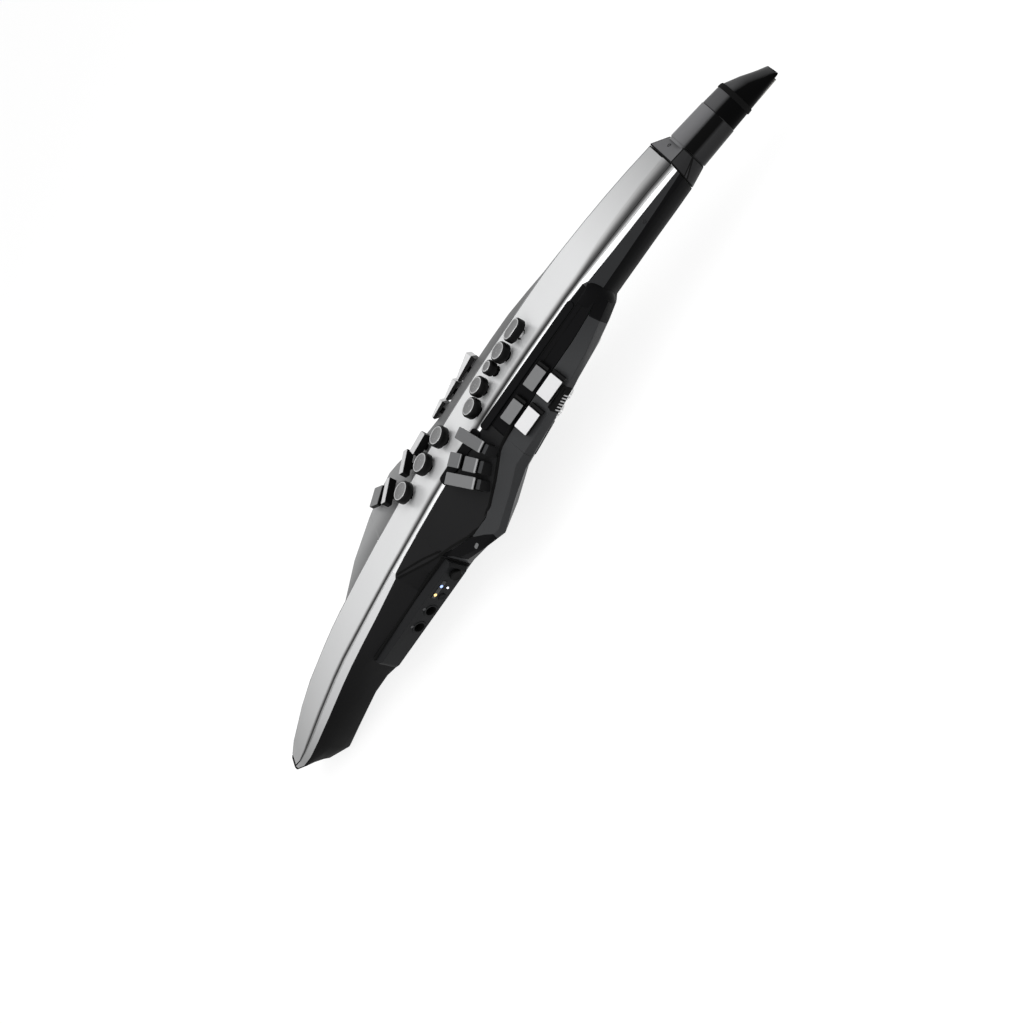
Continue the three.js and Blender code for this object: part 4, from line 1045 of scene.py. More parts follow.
# Painted shade: faces of the bulge beyond this place along X are black.
BULGE_SHADE_START = 106 * MM
# Painted light: side faces of the upper housing above this height are grey.
FLANK_FOOT = 58.8 * MM
PANEL_EDGE_START = 5 * MM


def in_hollow_shade(middle: Vector, normal: Vector) -> bool:
    """Whether a face of the bulge gets black painted shade, in the hollow below the little finger keys.
    """
    if middle.y >= 0 or middle.x >= HOLLOW_START:
        return False
    beyond = (middle - HOLLOW_SPOT).dot(HOLLOW_NORMAL) > 0
    return beyond or middle.x < HOLLOW_DEEP and (-0.7 < normal.x < -0.3 or normal.z < -0.5)


def far_edge(middle: Vector, normal: Vector) -> bool:
    """Whether a face of the front panel's rounding lies along the side away from the camera."""
    return normal.y > 0.1 and normal.z > 0.05 and middle.y > PANEL_EDGE_START and abs(normal.x) < 0.3


@dataclass(frozen=True)
class Band:
    """Faces of a moulding that get a finish of their own, for painted light and shade, parted first along
    a plane if one is given.
    """

    look: Look
    holds: Callable[[Vector, Vector], bool]
    plane: tuple[Point, Point] | None = None


@dataclass
class ShellPiece:
    """One moulding of the shell, refined from its CAD node.

    A groove gives its rounding the dark finish, but for the faces that plain picks.
    """

    node: str
    look: Look
    slot: str
    rounding: float = 0.35 * MM
    groove: bool = False
    bands: tuple[Band, ...] = ()
    plain: Callable[[Vector, Vector], bool] | None = None

    def build(self) -> None:
        """Rounds the edges and dresses the moulding."""
        piece = Bench.from_node(self.node, f"{self.node}_shell")
        Bench.dress(piece, self.look, Look.GROOVE, *(band.look for band in self.bands))
        for slot, band in enumerate(self.bands, 2):
            if band.plane:
                Bench.part(piece, *band.plane)
            Bench.mark(piece, slot, band.holds)
        Bench.soften(piece, self.rounding, slot=1 if self.groove else -1)
        Bench.draw_back(piece, self.node, 2 * self.rounding)
        if self.plain:
            Bench.mark(piece, 0, self.plain)
        Bench.mount(piece, "body", self.slot, self.node)


@dataclass
class Shell:
    """The long mouldings of the body."""

    pieces: tuple[ShellPiece, ...] = (
        ShellPiece("front_panel", Look.PANEL, "panel_silver", 0.9 * MM, True, plain=far_edge),
        ShellPiece("trim_left", Look.TRIM, "trim_bright", 0.3 * MM),
        # The far trim takes its painted shade in place of the trim's silver.
        ShellPiece("trim_right", Look.TRIM_FAR_SHADED, "trim_bright", 0.3 * MM),
        ShellPiece("upper_housing", Look.SHELL, "housing_black", bands=(
            # Painted light: the upper housing's side faces above the flank foot, in grey.
            Band(Look.LIT_FLANK, lambda middle, normal: middle.z > FLANK_FOOT and abs(normal.y) > 0.5,
                 ((0, 0, FLANK_FOOT), (0, 0, 1))),)),
        ShellPiece("palm_panel", Look.SHELL, "housing_black"),
        ShellPiece("pinky_panel", Look.SATIN, "panel_satin"),
        ShellPiece("rear_housing", Look.BULGE, "bulge_grey", bands=(
            # Painted shade: the bulge's upper end, and its hollow below the little finger keys, in black.
            Band(Look.SHELL, lambda middle, normal: middle.x > BULGE_SHADE_START),
            Band(Look.SHELL, in_hollow_shade, (HOLLOW_SPOT, HOLLOW_NORMAL)))),
        ShellPiece("right_cover", Look.WING, "wing_grey"),
        ShellPiece("lower_housing", Look.TAIL, "housing_black"),
        ShellPiece("jack_panel", Look.JACK, "jack_grey", bands=(
            # Painted light: the jack panel's upturned faces, and its top face in grey.
            Band(Look.JACK_STEP, lambda middle, normal: normal.z > 0.6),
            Band(Look.LIT_FLANK, lambda middle, normal: normal.x > 0.9))),
        ShellPiece("collar", Look.COLLAR, "jack_grey", 0.8 * MM, True),
    )

    def build(self) -> None:
        """Builds each moulding."""
        for piece in self.pieces:
            piece.build()


@dataclass(frozen=True)
class Strip:
    """A strip of painted shade, graded across, beside the groove between the front panel and the trim.

    It follows its node's edge. Lift says how much height counts beside the place outward in finding that
    edge, across is the way that the strip reaches from it, and shares scale its width along X.
    """

    name: str
    node: str
    look: Look
    slot: str
    lift: float
    across: Point
    width: float
    shares: Tones


@dataclass(frozen=True)
class Seam:
    """A dark round bead along a seam, with its radius and points in millimetres."""

    name: str
    slot: str
    radius: float
    path: tuple[Point, ...]


@dataclass(frozen=True)
class Plate:
    """A small rounded plate on the shell, with its sizes and place in millimetres."""

    name: str
    size: Point
    corner: float
    bevel: float
    base: float
    spot: Point
    normal: Point
    look: Look
    slot: str
    even: bool = False

    def build(self) -> None:
        """Builds the plate."""
        piece = Bench.plate(self.name, tuple(side * MM for side in self.size), self.corner * MM,
                            self.bevel * MM, self.base * MM)
        Bench.settle(piece, surface_place(self.spot, self.normal))
        Bench.smooth(piece)
        if self.even:
            Bench.even(piece)
        Bench.dress(piece, self.look)
        Bench.mount(piece, "body", self.slot)


NOTCH_NORMAL = (0.125, -0.915, -0.38)
THUMB_PLATE_SPOT = (55.4, -43.2, 46.6)


@dataclass
class ShellDetails:
    """Fairing, rail, grooves, seams, thumb plate and screws on the shell; places in millimetres.

    The points of the seams, the grooves' inner points, the screws and the patch of painted highlight were
    found by rays through the fitted camera to the solids behind the photograph's features, and moved a
    little.
    """

    strips: tuple[Strip, ...] = (
        Strip("panel_edge_shade_strip", "front_panel", Look.PANEL_EDGE_SHADE, "panel_silver", 0.0, (0, 1, 0),
              6 * MM, ((-0.283, 0.04), (-0.258, 0.58), (-0.1, 0.65), (-0.05, 1.0), (0.12, 1.0),
                       (0.155, 1.7), (0.19, 2.0))),
        Strip("trim_edge_shade_strip", "trim_left", Look.TRIM_EDGE_SHADE, "trim_bright", 5.0, (0, -0.87, -0.5),
              2.2 * MM, ((-0.283, 0.04), (-0.258, 0.63), (-0.06, 0.6), (-0.03, 0.5), (0.1, 0.5),
                         (0.125, 0.75), (0.17, 1.2))),
    )
    strip_start: float = -0.284
    strip_end: float = 0.2103
    fairing_middle: Point = (119.0, -14.0, 58.5)
    fairing_radii: Point = (11.8, 16.6, 18.3)
    fairing_foot: float = 112.5
    fairing_top: float = 69.2
    edge_step: float = 1.5 * MM
    rail: Plate = Plate("palm_rail", (99, 5.4, 2.2), 2.4, 0.5, -0.9, (60.8, -23.9, 70.35),
                        (0.009, -0.594, 0.804), Look.SHELL, "housing_black", True)
    groove_radius: float = 0.5
    grooves: tuple[tuple[Point, ...], ...] = (
        ((113.5, -27.2, 67.4), (112.4, -26.4, 68.5), (68.7, -26.9, 68.3), (66.0, -26.9, 68.3)),
        ((113.5, -28.6, 65.2), (112.4, -28.1, 66.0), (68.9, -29.0, 66.0), (66.0, -29.0, 66.0)),
    )
    seams: tuple[Seam, ...] = (
        Seam("pinky_panel_seam_high", "panel_satin", 1.3, (
            (29.4, -34.1, 62.2), (11.1, -37.7, 60.4), (-8.1, -45.6, 54.7), (-24.3, -50.0, 49.7),
            (-38.2, -50.1, 46.8), (-48.9, -48.2, 47.2))),
        Seam("pinky_panel_seam_low", "panel_satin", 0.9, (
            (-48.9, -48.4, 47.4), (-65.6, -38.6, 47.6), (-79.0, -33.4, 48.7), (-88.4, -30.6, 51.5),
            (-98.0, -27.5, 54.8), (-106.9, -24.6, 57.7))),
        Seam("pinky_panel_seam_twin", "panel_satin", 0.8, (
            (-73.5, -33.9, 49.3), (-77.6, -32.0, 50.8), (-86.4, -28.8, 54.1), (-96.0, -25.9, 56.8),
            (-106.4, -23.0, 59.6))),
        Seam("jack_panel_seam", "jack_grey", 1.0, (
            (-77.4, -34.0, 45.6), (-100.4, -31.6, 43.5), (-122.8, -30.9, 41.9), (-144.8, -30.9, 41.2),
            (-168.5, -30.8, 40.0))),
    )
    # Black plate under the little finger keys: partly their base, partly painted shade over the trim
    # beneath them.
    base: Plate = Plate("pinky_key_base_shade", (43, 7.6, 1.8), 2.4, 0.25, -1.2, (-13.6, -20.6, 70.5),
                        (-0.05, -0.47, 0.88), Look.SHELL, "fitting_black", True)
    # The first two plates are black painted shade of the recess round the thumb plate; the third is the
    # thumb plate's base.
    recess: tuple[Plate, ...] = (
        Plate("roller_recess_shade_low", (18, 10, 0.9), 1.2, 0.1, -0.7, (57.5, -43.95, 48.6), NOTCH_NORMAL,
              Look.GROOVE, "rubber_black"),
        Plate("roller_recess_shade_high", (16, 2.6, 0.9), 0.8, 0.1, -0.7, (57.0, -44.3, 51.9),
              (0.13, -0.59, 0.8), Look.GROOVE, "rubber_black"),
        Plate("thumb_plate_base", (13, 5.4, 0.9), 0.6, 0.2, -0.6, THUMB_PLATE_SPOT, NOTCH_NORMAL,
              Look.SCREW, "metal_bright"),
    )
    rib_count: int = 6
    rib_pitch: float = 2.1
    rib_reach: float = 2.2
    rib_height: float = 0.3
    # Painted highlight: a small grey patch for the glint in the dark hollow below the little finger keys.
    cover: Plate = Plate("painted_glint_patch", (4.6, 2.4, 0.8), 1.1, 0.15, -0.5, (-51.6, -53.9, 42.5),
                         (-0.38, -0.52, 0.76), Look.KEY_TOP, "fitting_black")
    screw: Profile = in_mm((1.4, -1), (1.4, 0.1), (1.2, 0.3), (0.75, 0.3), (0.7, -0.4))
    screws: tuple[tuple[Point, Point], ...] = (
        ((174.4, -23.4, 60.9), (0.06, -0.99, 0.16)),
        ((217.9, 2.1, 61.8), (0.45, 0.0, 0.89)),
    )

    def build_fairing(self) -> None:
        """Builds the rounded shoulder where the bulge meets the upper housing."""
        Bench.pick()
        place = tuple(value * MM for value in self.fairing_middle)
        bpy.ops.mesh.primitive_uv_sphere_add(segments=48, ring_count=24, radius=1, location=place)
        dome = Bench.named("shoulder_fairing")
        dome.scale = tuple(value * MM for value in self.fairing_radii)
        Bench.settle(dome)
        Bench.part(dome, (self.fairing_middle[0] * MM, 0, 0), (-1, 0, 0), cut=True)
        Bench.pick(dome)
        bpy.ops.object.mode_set(mode="EDIT")
        Bench.choose(dome, "FACE", lambda face: face.normal.x < -0.99)
        sleeve = (self.fairing_foot - self.fairing_middle[0]) * MM
        bpy.ops.mesh.extrude_region_move(TRANSFORM_OT_translate={"value": (sleeve, 0, 0)})
        bpy.ops.object.mode_set(mode="OBJECT")
        Bench.part(dome, (0, self.fairing_middle[1] * MM, 0), (0, 1, 0), cut=True)
        Bench.part(dome, (0, 0, self.fairing_top * MM), (0, 0, 1), cut=True)
        Bench.smooth(dome)
        Bench.dress(dome, Look.SHELL)
        Bench.mount(dome, "body", "housing_black")

    def build_groove_shade_strips(self) -> None:
        """Builds the strips of painted shade that darken the panel and the trim towards the groove
        between them.
        """
        for strip in self.strips:
            rows: dict[float, list[Vector]] = {}
            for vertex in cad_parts[strip.node].data.vertices:
                if vertex.co.y < 0:
                    rows.setdefault(round(vertex.co.x, 5), []).append(vertex.co)
            path: list[Vector] = []
            for along in sorted(rows):
                spot = min(rows[along], key=lambda spot: spot.y - spot.z * strip.lift)
                on_edge = not path or (along - path[-1].x > MM and spot.y - path[-1].y < self.edge_step)
                if on_edge and self.strip_start < along < self.strip_end - 2 * self.edge_step:
                    path.append(spot.copy())
            last = path[-1] - path[-2]
            path.append(path[-1] + last * ((self.strip_end - path[-1].x) / last.x))
            piece = Bench.ribbon(strip.name, path, Vector(strip.across).normalized(), strip.width,
                                 strip.shares)
            Bench.dress(piece, strip.look)
            Bench.mount(piece, "body", strip.slot)

    def build_rail(self) -> None:
        """Builds the raised rail between the trim and the palm keys, and the grooves beside it."""
        self.rail.build()
        for index, path in enumerate(self.grooves, 1):
            groove = Bench.bead(f"palm_groove_{index}", path, self.groove_radius * MM)
            Bench.dress(groove, Look.GROOVE)
            Bench.mount(groove, "body", "housing_black")

    def build_seams(self) -> None:
        """Builds the dark seams round the little finger panel and beside the jack panel."""
        for seam in self.seams:
            piece = Bench.bead(seam.name, seam.path, seam.radius * MM)
            Bench.dress(piece, Look.GROOVE)
            Bench.mount(piece, "body", seam.slot)

    def build_thumb_plate(self) -> None:
        """Builds the ribbed plate beside the octave rollers, over black plates of painted recess shade.
        """
        for plate in self.recess:
            plate.build()
        middle = (self.rib_count - 1) / 2
        ribs = []
        for index in range(self.rib_count):
            along = (index - middle) * self.rib_pitch
            path = ((along, -self.rib_reach, self.rib_height), (along, self.rib_reach, self.rib_height))
            ribs.append(Bench.bead("rib", path, self.groove_radius * MM))
        piece = Bench.join(*ribs)
        piece.name = piece.data.name = "thumb_plate_ribs"
        Bench.settle(piece, surface_place(THUMB_PLATE_SPOT, NOTCH_NORMAL))
        Bench.smooth(piece)
        Bench.dress(piece, Look.KEY_BRIGHT)
        Bench.mount(piece, "body", "metal_bright")

    def build_screws(self) -> None:
        """Builds each screw with its round recess, and the small grey patch of painted highlight."""
        for index, (spot, normal) in enumerate(self.screws, 1):
            fit(f"shell_screw_{index}", self.screw, 24, Look.SCREW, surface_place(spot, normal), "body",
                "fitting_black")
        self.cover.build()

    def build(self) -> None:
        """Builds every detail."""
        self.build_fairing()
        self.build_groove_shade_strips()
        self.build_rail()
        self.build_seams()
        self.base.build()
        self.build_thumb_plate()
        self.build_screws()


@dataclass
class FrontKeys:
    """The row of round keys on the front panel, and the oblong one."""

    count: int = 7
    cap_height: float = 6 * MM
    border: float = 1.15 * MM
    rim: float = 0.7 * MM
    dish: float = 0.55 * MM
    stem_radius: float = 2.6 * MM
    stem_length: float = 7 * MM
    soft: float = 0.7 * MM
    oblong: Point = (17 * MM, 10.5 * MM, 6 * MM)
    oblong_turn: float = math.radians(3)

    def round_key(self, index: int) -> None:
        """Builds one round key from its node's place and width."""
        node = f"front_key_{index}"
        low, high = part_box(node)
        radius = (high.x - low.x) / 2
        middle = (low + high) / 2
        base = high.z - self.cap_height
        soft, top = self.soft, self.cap_height
        edge = radius - self.border
        black = Bench.turned(f"{node}_cup", [
            (self.stem_radius, -self.stem_length), (self.stem_radius, 0.0),
            (radius - soft, 0.0), (radius - soft * 0.3, soft * 0.3), (radius, soft),
            (radius, top - soft * 1.8), (radius - 0.25 * MM, top - soft * 1.2),
            (radius - 0.6 * MM, top - soft * 0.6), (edge, top - soft * 0.4), (edge, top - soft * 1.2),
        ], 56)
        Bench.dress(black, Look.KEY_SIDE)
        inner = edge - self.rim
        ring = Bench.turned(f"{node}_rim", [
            (edge, top - soft), (edge, top - 0.2 * MM), (edge - 0.15 * MM, top), (inner + 0.15 * MM, top),
            (inner, top - 0.12 * MM), (inner, top - soft * 1.1),
        ], 56)
        Bench.dress(ring, Look.KEY_RIM)
        inner -= 0.01 * MM
        pearl = Bench.turned(f"{node}_pearl", [
            (inner, top - soft), (inner, top - 0.25 * MM), (inner * 0.85, top - 0.4 * MM),
            (inner * 0.6, top - self.dish + 0.04 * MM), (inner * 0.3, top - self.dish),
            (inner * 0.05, top - self.dish),
        ], 56)
        Bench.dress(pearl, Look.KEY_PEARL)
        placing = Matrix.Translation((middle.x, middle.y, base))
        for piece in (black, ring, pearl):
            Bench.settle(piece, placing)
            Bench.mount(piece, node, "key_grey", node)

    def oblong_key(self) -> None:
        """Builds the oblong key: round profiles drawn out along the body."""
        node = "front_key_oblong"
        low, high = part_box(node)
        length, width, top = self.oblong
        middle = (low + high) / 2
        radius, soft = width / 2, self.soft
        reach = (length - width) / 2
        edge = radius - self.border * 0.8
        inner = edge - self.rim
        cup = Bench.turned(f"{node}_cup", [
            (radius - soft, 0.0), (radius, soft), (radius, top - soft * 1.8),
            (radius - 0.3 * MM, top - soft), (edge, top - soft * 0.4), (edge, top - soft * 1.2)], 60)
        rim = Bench.turned(f"{node}_rim", [
            (edge, top - soft), (edge, top - 0.2 * MM), (edge - 0.15 * MM, top),
            (inner + 0.15 * MM, top), (inner, top - 0.15 * MM), (inner, top - soft * 1.1)], 60)
        pearl = Bench.turned(f"{node}_pearl", [
            (inner, top - soft), (inner, top - 0.2 * MM), (inner * 0.7, top - 0.35 * MM),
            (inner * 0.4, top - 0.4 * MM)], 60)
        for piece, look in ((cup, Look.KEY_SIDE), (rim, Look.KEY_RIM), (pearl, Look.KEY_PEARL)):
            Bench.settle(piece, Matrix.Rotation(self.oblong_turn, 4, "Z"))
            Bench.draw_out(piece, reach)
            Bench.dress(piece, look)
        stem = Bench.turned("stem", [(self.stem_radius, -self.stem_length), (self.stem_radius, 0.5 * MM)])
        cup = Bench.join(cup, stem)
        placing = Matrix.Translation((middle.x, middle.y, high.z - top))
        for piece in (cup, rim, pearl):
            Bench.settle(piece, placing)
            Bench.smooth(piece)
            Bench.mount(piece, node, "key_grey", node)

    def build(self) -> None:
        """Builds the whole row."""
        for index in range(1, self.count + 1):
            self.round_key(index)
        self.oblong_key()


@dataclass(frozen=True)
class FlankKey:
    """A key on a flank, in shares of the part's scale.

    Spot is what key_place takes. Light is the height of the light plate, and drop how far the plate's
    foot end lies lower.
    """

    node: str
    spot: tuple[float, float, float, float, float]
    length: float
    width: float
    height: float = 0.034
    look: Look = Look.KEY_TOP
    light: float = 0.008
    drop: float = 0.0

    def size(self) -> Point:
        """Length, width and height in metres."""
        return (self.length * PART_SCALE, self.width * PART_SCALE, self.height * PART_SCALE)


@dataclass
class FlankKeys:
    """Palm, side and right-hand little finger keys."""

    corner: float = 0.6 * MM
    end_block_length: float = 2.4 * MM
    end_block_sink: float = 1.2 * MM
    stem_radius: float = 2.2 * MM
    stem_length: float = 4.5 * MM
    lower_share: float = 0.4
    keys: tuple[FlankKey, ...] = (
        FlankKey("palm_key_1", (0.592, 0.32, 0.654, 0.265, 0), 0.157, 0.082),
        FlankKey("palm_key_2", (0.334, 0.3235, 0.651, 0.265, 0), 0.157, 0.082),
        # Palm keys 3 and 4 are the grey of keys 1 and 2; their brighter finish is painted light on faces
        # that turn to the light.
        FlankKey("palm_key_3", (0.603, 0.4035, 0.5735, 0.225, 0), 0.165, 0.1, look=Look.KEY_BRIGHT),
        FlankKey("palm_key_4", (0.354, 0.418, 0.574, 0.205, 0), 0.165, 0.1, look=Look.KEY_BRIGHT),
        FlankKey("side_key_1", (0.225, -0.425, 0.645, -0.24, 0), 0.19, 0.11, 0.075, Look.KEY_BRIGHT,
                 0.045, 0.042),
        FlankKey("side_key_2", (0.045, -0.425, 0.638, -0.24, 0), 0.145, 0.11, 0.058, Look.KEY_BRIGHT,
                 0.034, 0.028),
        FlankKey("side_key_3", (-0.12, -0.4325, 0.6345, -0.235, 0), 0.135, 0.11, 0.05, Look.KEY_BRIGHT,
                 0.028, 0.022),
        FlankKey("right_pinky_key_1", (-0.35, -0.282, 0.685, -0.03, -0.06), 0.16, 0.075, 0.06,
                 Look.KEY_BRIGHT),
        FlankKey("right_pinky_key_2", (-0.535, -0.33, 0.663, -0.03, -0.3), 0.19, 0.05, 0.06,
                 Look.KEY_BRIGHT),
        FlankKey("right_pinky_key_3", (-0.785, -0.34, 0.643, -0.03, -0.3), 0.2, 0.05, 0.06,
                 Look.KEY_BRIGHT),
        FlankKey("right_pinky_key_4", (-0.915, -0.495, 0.618, -0.03, -0.25), 0.15, 0.11),
    )

    def build_end_shade_blocks(self) -> None:
        """Builds the black block at the upper end of each palm key: the key's dark end wall, and painted
        shade above it.
        """
        for key in self.keys[:4]:
            length, width, height = key.size()
            block = Bench.plate(f"{key.node}_hinge", (self.end_block_length, width, height), self.corner,
                                0.4 * MM, -self.end_block_sink)
            Bench.settle(block, Matrix.Translation(((length + self.end_block_length) / 2 + 0.25 * MM, 0, 0)))
            Bench.dress(block, Look.KEY_SIDE)
            Bench.settle(block, key_place(*key.spot))
            Bench.smooth(block)
            Bench.even(block)
            Bench.mount(block, "body", "fitting_black")

    def build(self) -> None:
        """Builds each key as a black cup with a light plate let into it."""
        self.build_end_shade_blocks()
        for key in self.keys:
            length, width, height = key.size()
            light, drop = key.light * PART_SCALE, key.drop * PART_SCALE
            base = height - light
            cup = Bench.plate(f"{key.node}_cup", (length, width, base + 0.4 * MM), self.corner, 0.3 * MM)
            top = Bench.plate(f"{key.node}_top", (length - 0.3 * MM, width - 0.3 * MM, light),
                              self.corner, 0.25 * MM, base)
            if drop:
                lower = drop * self.lower_share
                Bench.slope(cup, base / 2, lower)
                Bench.slope(top, 0.0, lower)
                Bench.slope(top, base + light / 2 - lower, drop - lower)
            stem = Bench.turned("stem", [(self.stem_radius, -self.stem_length),
                                         (self.stem_radius, 0.4 * MM)], 24)
            cup = Bench.join(cup, stem)
            Bench.dress(cup, Look.KEY_SIDE)
            Bench.dress(top, key.look)
            for piece in (cup, top):
                Bench.settle(piece, key_place(*key.spot))
                Bench.smooth(piece)
                Bench.even(piece)
                Bench.mount(piece, key.node, "key_grey", key.node)


@dataclass
class PinkyKeys:
    """Left little finger keys, each hinged between two cheeks at its outer end."""

    corner: float = 0.7 * MM
    barrel_radius: float = 1.9 * MM
    barrel_inset: float = 0.6 * MM
    barrel_height: float = -0.4 * MM
    pin_radius: float = 0.7 * MM
    top_height: float = 0.9 * MM
    post_length: float = 3.4 * MM
    post_drop: float = 1.5 * MM
    post_depth: float = 8 * MM
    tip_long: float = 1.6 * MM
    tip_short: float = 0.6 * MM
    tip_proud: float = 0.08 * MM
    posts: tuple[str, ...] = ("left_pinky_key_1", "left_pinky_key_3", "left_pinky_key_4")
    keys: tuple[FlankKey, ...] = (
        FlankKey("left_pinky_key_1", (0.02, 0.262, 0.733, 0.075, 0.42), 0.265, 0.08, 0.032,
                 look=Look.KEY_DARK),
        FlankKey("left_pinky_key_2", (-0.155, 0.238, 0.722, 0.085, 0.345), 0.105, 0.095, 0.032,
                 look=Look.KEY_DARK),
        FlankKey("left_pinky_key_3", (-0.095, 0.355, 0.68, 0.1, 0.345), 0.115, 0.095, 0.032,
                 look=Look.KEY_DARK),
        FlankKey("left_pinky_key_4", (-0.225, 0.35, 0.672, 0.11, 0.335), 0.25, 0.08, 0.032),
    )

    def build_post(self, key: FlankKey) -> None:
        """Builds the block behind a key's hinge, with a grey top."""
        length, width, height = key.size()
        high = height - self.post_drop
        post_size = (self.post_length, width - 1.4 * MM, high + self.post_depth)
        post = Bench.plate(f"{key.node}_post", post_size,
                           0.6 * MM, 0.3 * MM, -self.post_depth)
        Bench.settle(post, Matrix.Translation(((length + self.post_length) / 2 + 0.6 * MM, 0, 0)))
        Bench.dress(post, Look.SATIN, Look.BULGE)
        Bench.mark(post, 1, lambda middle, normal: normal.z > 0.9)
        Bench.settle(post, key_place(*key.spot))
        Bench.smooth(post)
        Bench.even(post)
        Bench.mount(post, "body", "fitting_black")

    def build(self) -> None:
        """Builds each key as a grey bar over a black hinge barrel with a bright pin."""
        for key in self.keys:
            length, width, height = key.size()
            top = Bench.plate(f"{key.node}_bar", (length, width, self.top_height), self.corner, 0.3 * MM,
                              height - self.top_height)
            under = Bench.plate(f"{key.node}_under", (length - 0.4 * MM, width - 0.4 * MM,
                                height - self.top_height), self.corner, 0.2 * MM)
            # Painted highlight: a lighter tip on the outer end of each bar, where its end faces the
            # light.
            tip_length = self.tip_long if key.node in self.posts else self.tip_short
            tip_size = (tip_length, width - 0.4 * MM, self.top_height)
            tip = Bench.plate(f"{key.node}_tip", tip_size, 0.3 * MM,
                              0.2 * MM, height - self.top_height + self.tip_proud)
            Bench.settle(tip, Matrix.Translation(((length - tip_length) / 2, 0, 0)))
            if key.node in self.posts:
                self.build_post(key)
            half, outer = width / 4, length / 2 - self.barrel_radius - self.barrel_inset
            across = Matrix.Translation((outer, 0, self.barrel_height)) @ Matrix.Rotation(
                HALF_TURN / 2, 4, "X")
            barrel = Bench.turned("barrel", [
                (self.barrel_radius - 0.2 * MM, -half), (self.barrel_radius, -half + 0.2 * MM),
                (self.barrel_radius, half - 0.2 * MM), (self.barrel_radius - 0.2 * MM, half)], 24)
            reach = half + 0.3 * MM
            pin = Bench.turned(f"{key.node}_pin", [
                (self.pin_radius, -reach), (self.pin_radius, reach), (0.3 * MM, reach)], 20)
            for piece in (barrel, pin):
                Bench.settle(piece, across)
            under = Bench.join(under, barrel)
            for piece, look in ((top, key.look), (under, Look.KEY_SIDE), (pin, Look.METAL),
                                (tip, Look.KEY_TIP_HIGHLIGHT)):
                Bench.dress(piece, look)
                Bench.settle(piece, key_place(*key.spot))
                Bench.smooth(piece)
                Bench.even(piece)
                Bench.mount(piece, key.node, "key_grey", key.node)


@dataclass
class MouthEnd:
    """Neck tube, mouthpiece, reed plate and band."""

    base: Point = (221.4 * MM, 0.0, 49.9 * MM)
    lean: float = 0.0433
    neck: Profile = ((13.9 * MM, 0.0), (12.9 * MM, 27 * MM))
    tenon_radius: float = 8.4 * MM
    tenon_end: float = 39 * MM
    bore: float = 6 * MM
    band_shrink: float = 0.955

    def frame(self) -> Matrix:
        """The neck's frame, with Z along the neck towards the tip."""
        turn = Matrix.Rotation(self.lean * HALF_TURN + HALF_TURN / 2, 4, "Y")
        return Matrix.Translation(self.base) @ turn

    def build_neck(self) -> None:
        """Builds the neck tube with a softened shoulder and its tenon."""
        (low, start), (high, end) = self.neck
        soft = 0.4 * MM
        piece = Bench.turned("neck_tube_body", [
            (self.bore, start - 2 * MM), (low - 0.5 * MM, start - 2 * MM), (low - 0.5 * MM, start),
            (low, start + 0.1 * MM),
            (high + 0.02 * MM, end - soft), (high - soft, end), (self.tenon_radius, end),
            (self.tenon_radius, self.tenon_end - soft), (self.tenon_radius - soft, self.tenon_end),
            (self.bore, self.tenon_end), (self.bore, self.tenon_end - 6 * MM),
        ], 72)
        Bench.dress(piece, Look.NECK)
        Bench.settle(piece, self.frame())
        Bench.mount(piece, "body", "jack_grey", "neck_tube")

    def build_mouthpiece(self) -> None:
        """Dresses the mouthpiece and its parts, refined from the CAD nodes."""
        body = Bench.from_node("mouthpiece", "mouthpiece_body")
        Bench.soften(body, 0.3 * MM, 45.0)
        Bench.smooth(body, 40.0)
        Bench.dress(body, Look.MOUTH)
        Bench.mount(body, "mouthpiece", "mouth_black", "mouthpiece")
        reed = Bench.from_node("reed_plate", "reed_plate_body")
        Bench.soften(reed, 0.15 * MM, 45.0)
        Bench.dress(reed, Look.REED)
        Bench.mount(reed, "mouthpiece", "reed_pale", "reed_plate")
        band = Bench.from_node("band_ring", "band_ring_body")
        low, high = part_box("band_ring")
        middle = (low + high) / 2
        Bench.pick(band)
        bpy.ops.object.mode_set(mode="EDIT")
        bpy.ops.mesh.select_all(action="SELECT")
        bpy.ops.transform.resize(value=(1, self.band_shrink, self.band_shrink), center_override=middle)
        bpy.ops.object.mode_set(mode="OBJECT")
        Bench.soften(band, 0.25 * MM, 60.0)
        Bench.smooth(band, 60.0)
        Bench.dress(band, Look.GROOVE)
        Bench.mount(band, "mouthpiece", "rubber_black", "band_ring")

    def build(self) -> None:
        """Builds the whole mouth end."""
        self.build_neck()
        self.build_mouthpiece()


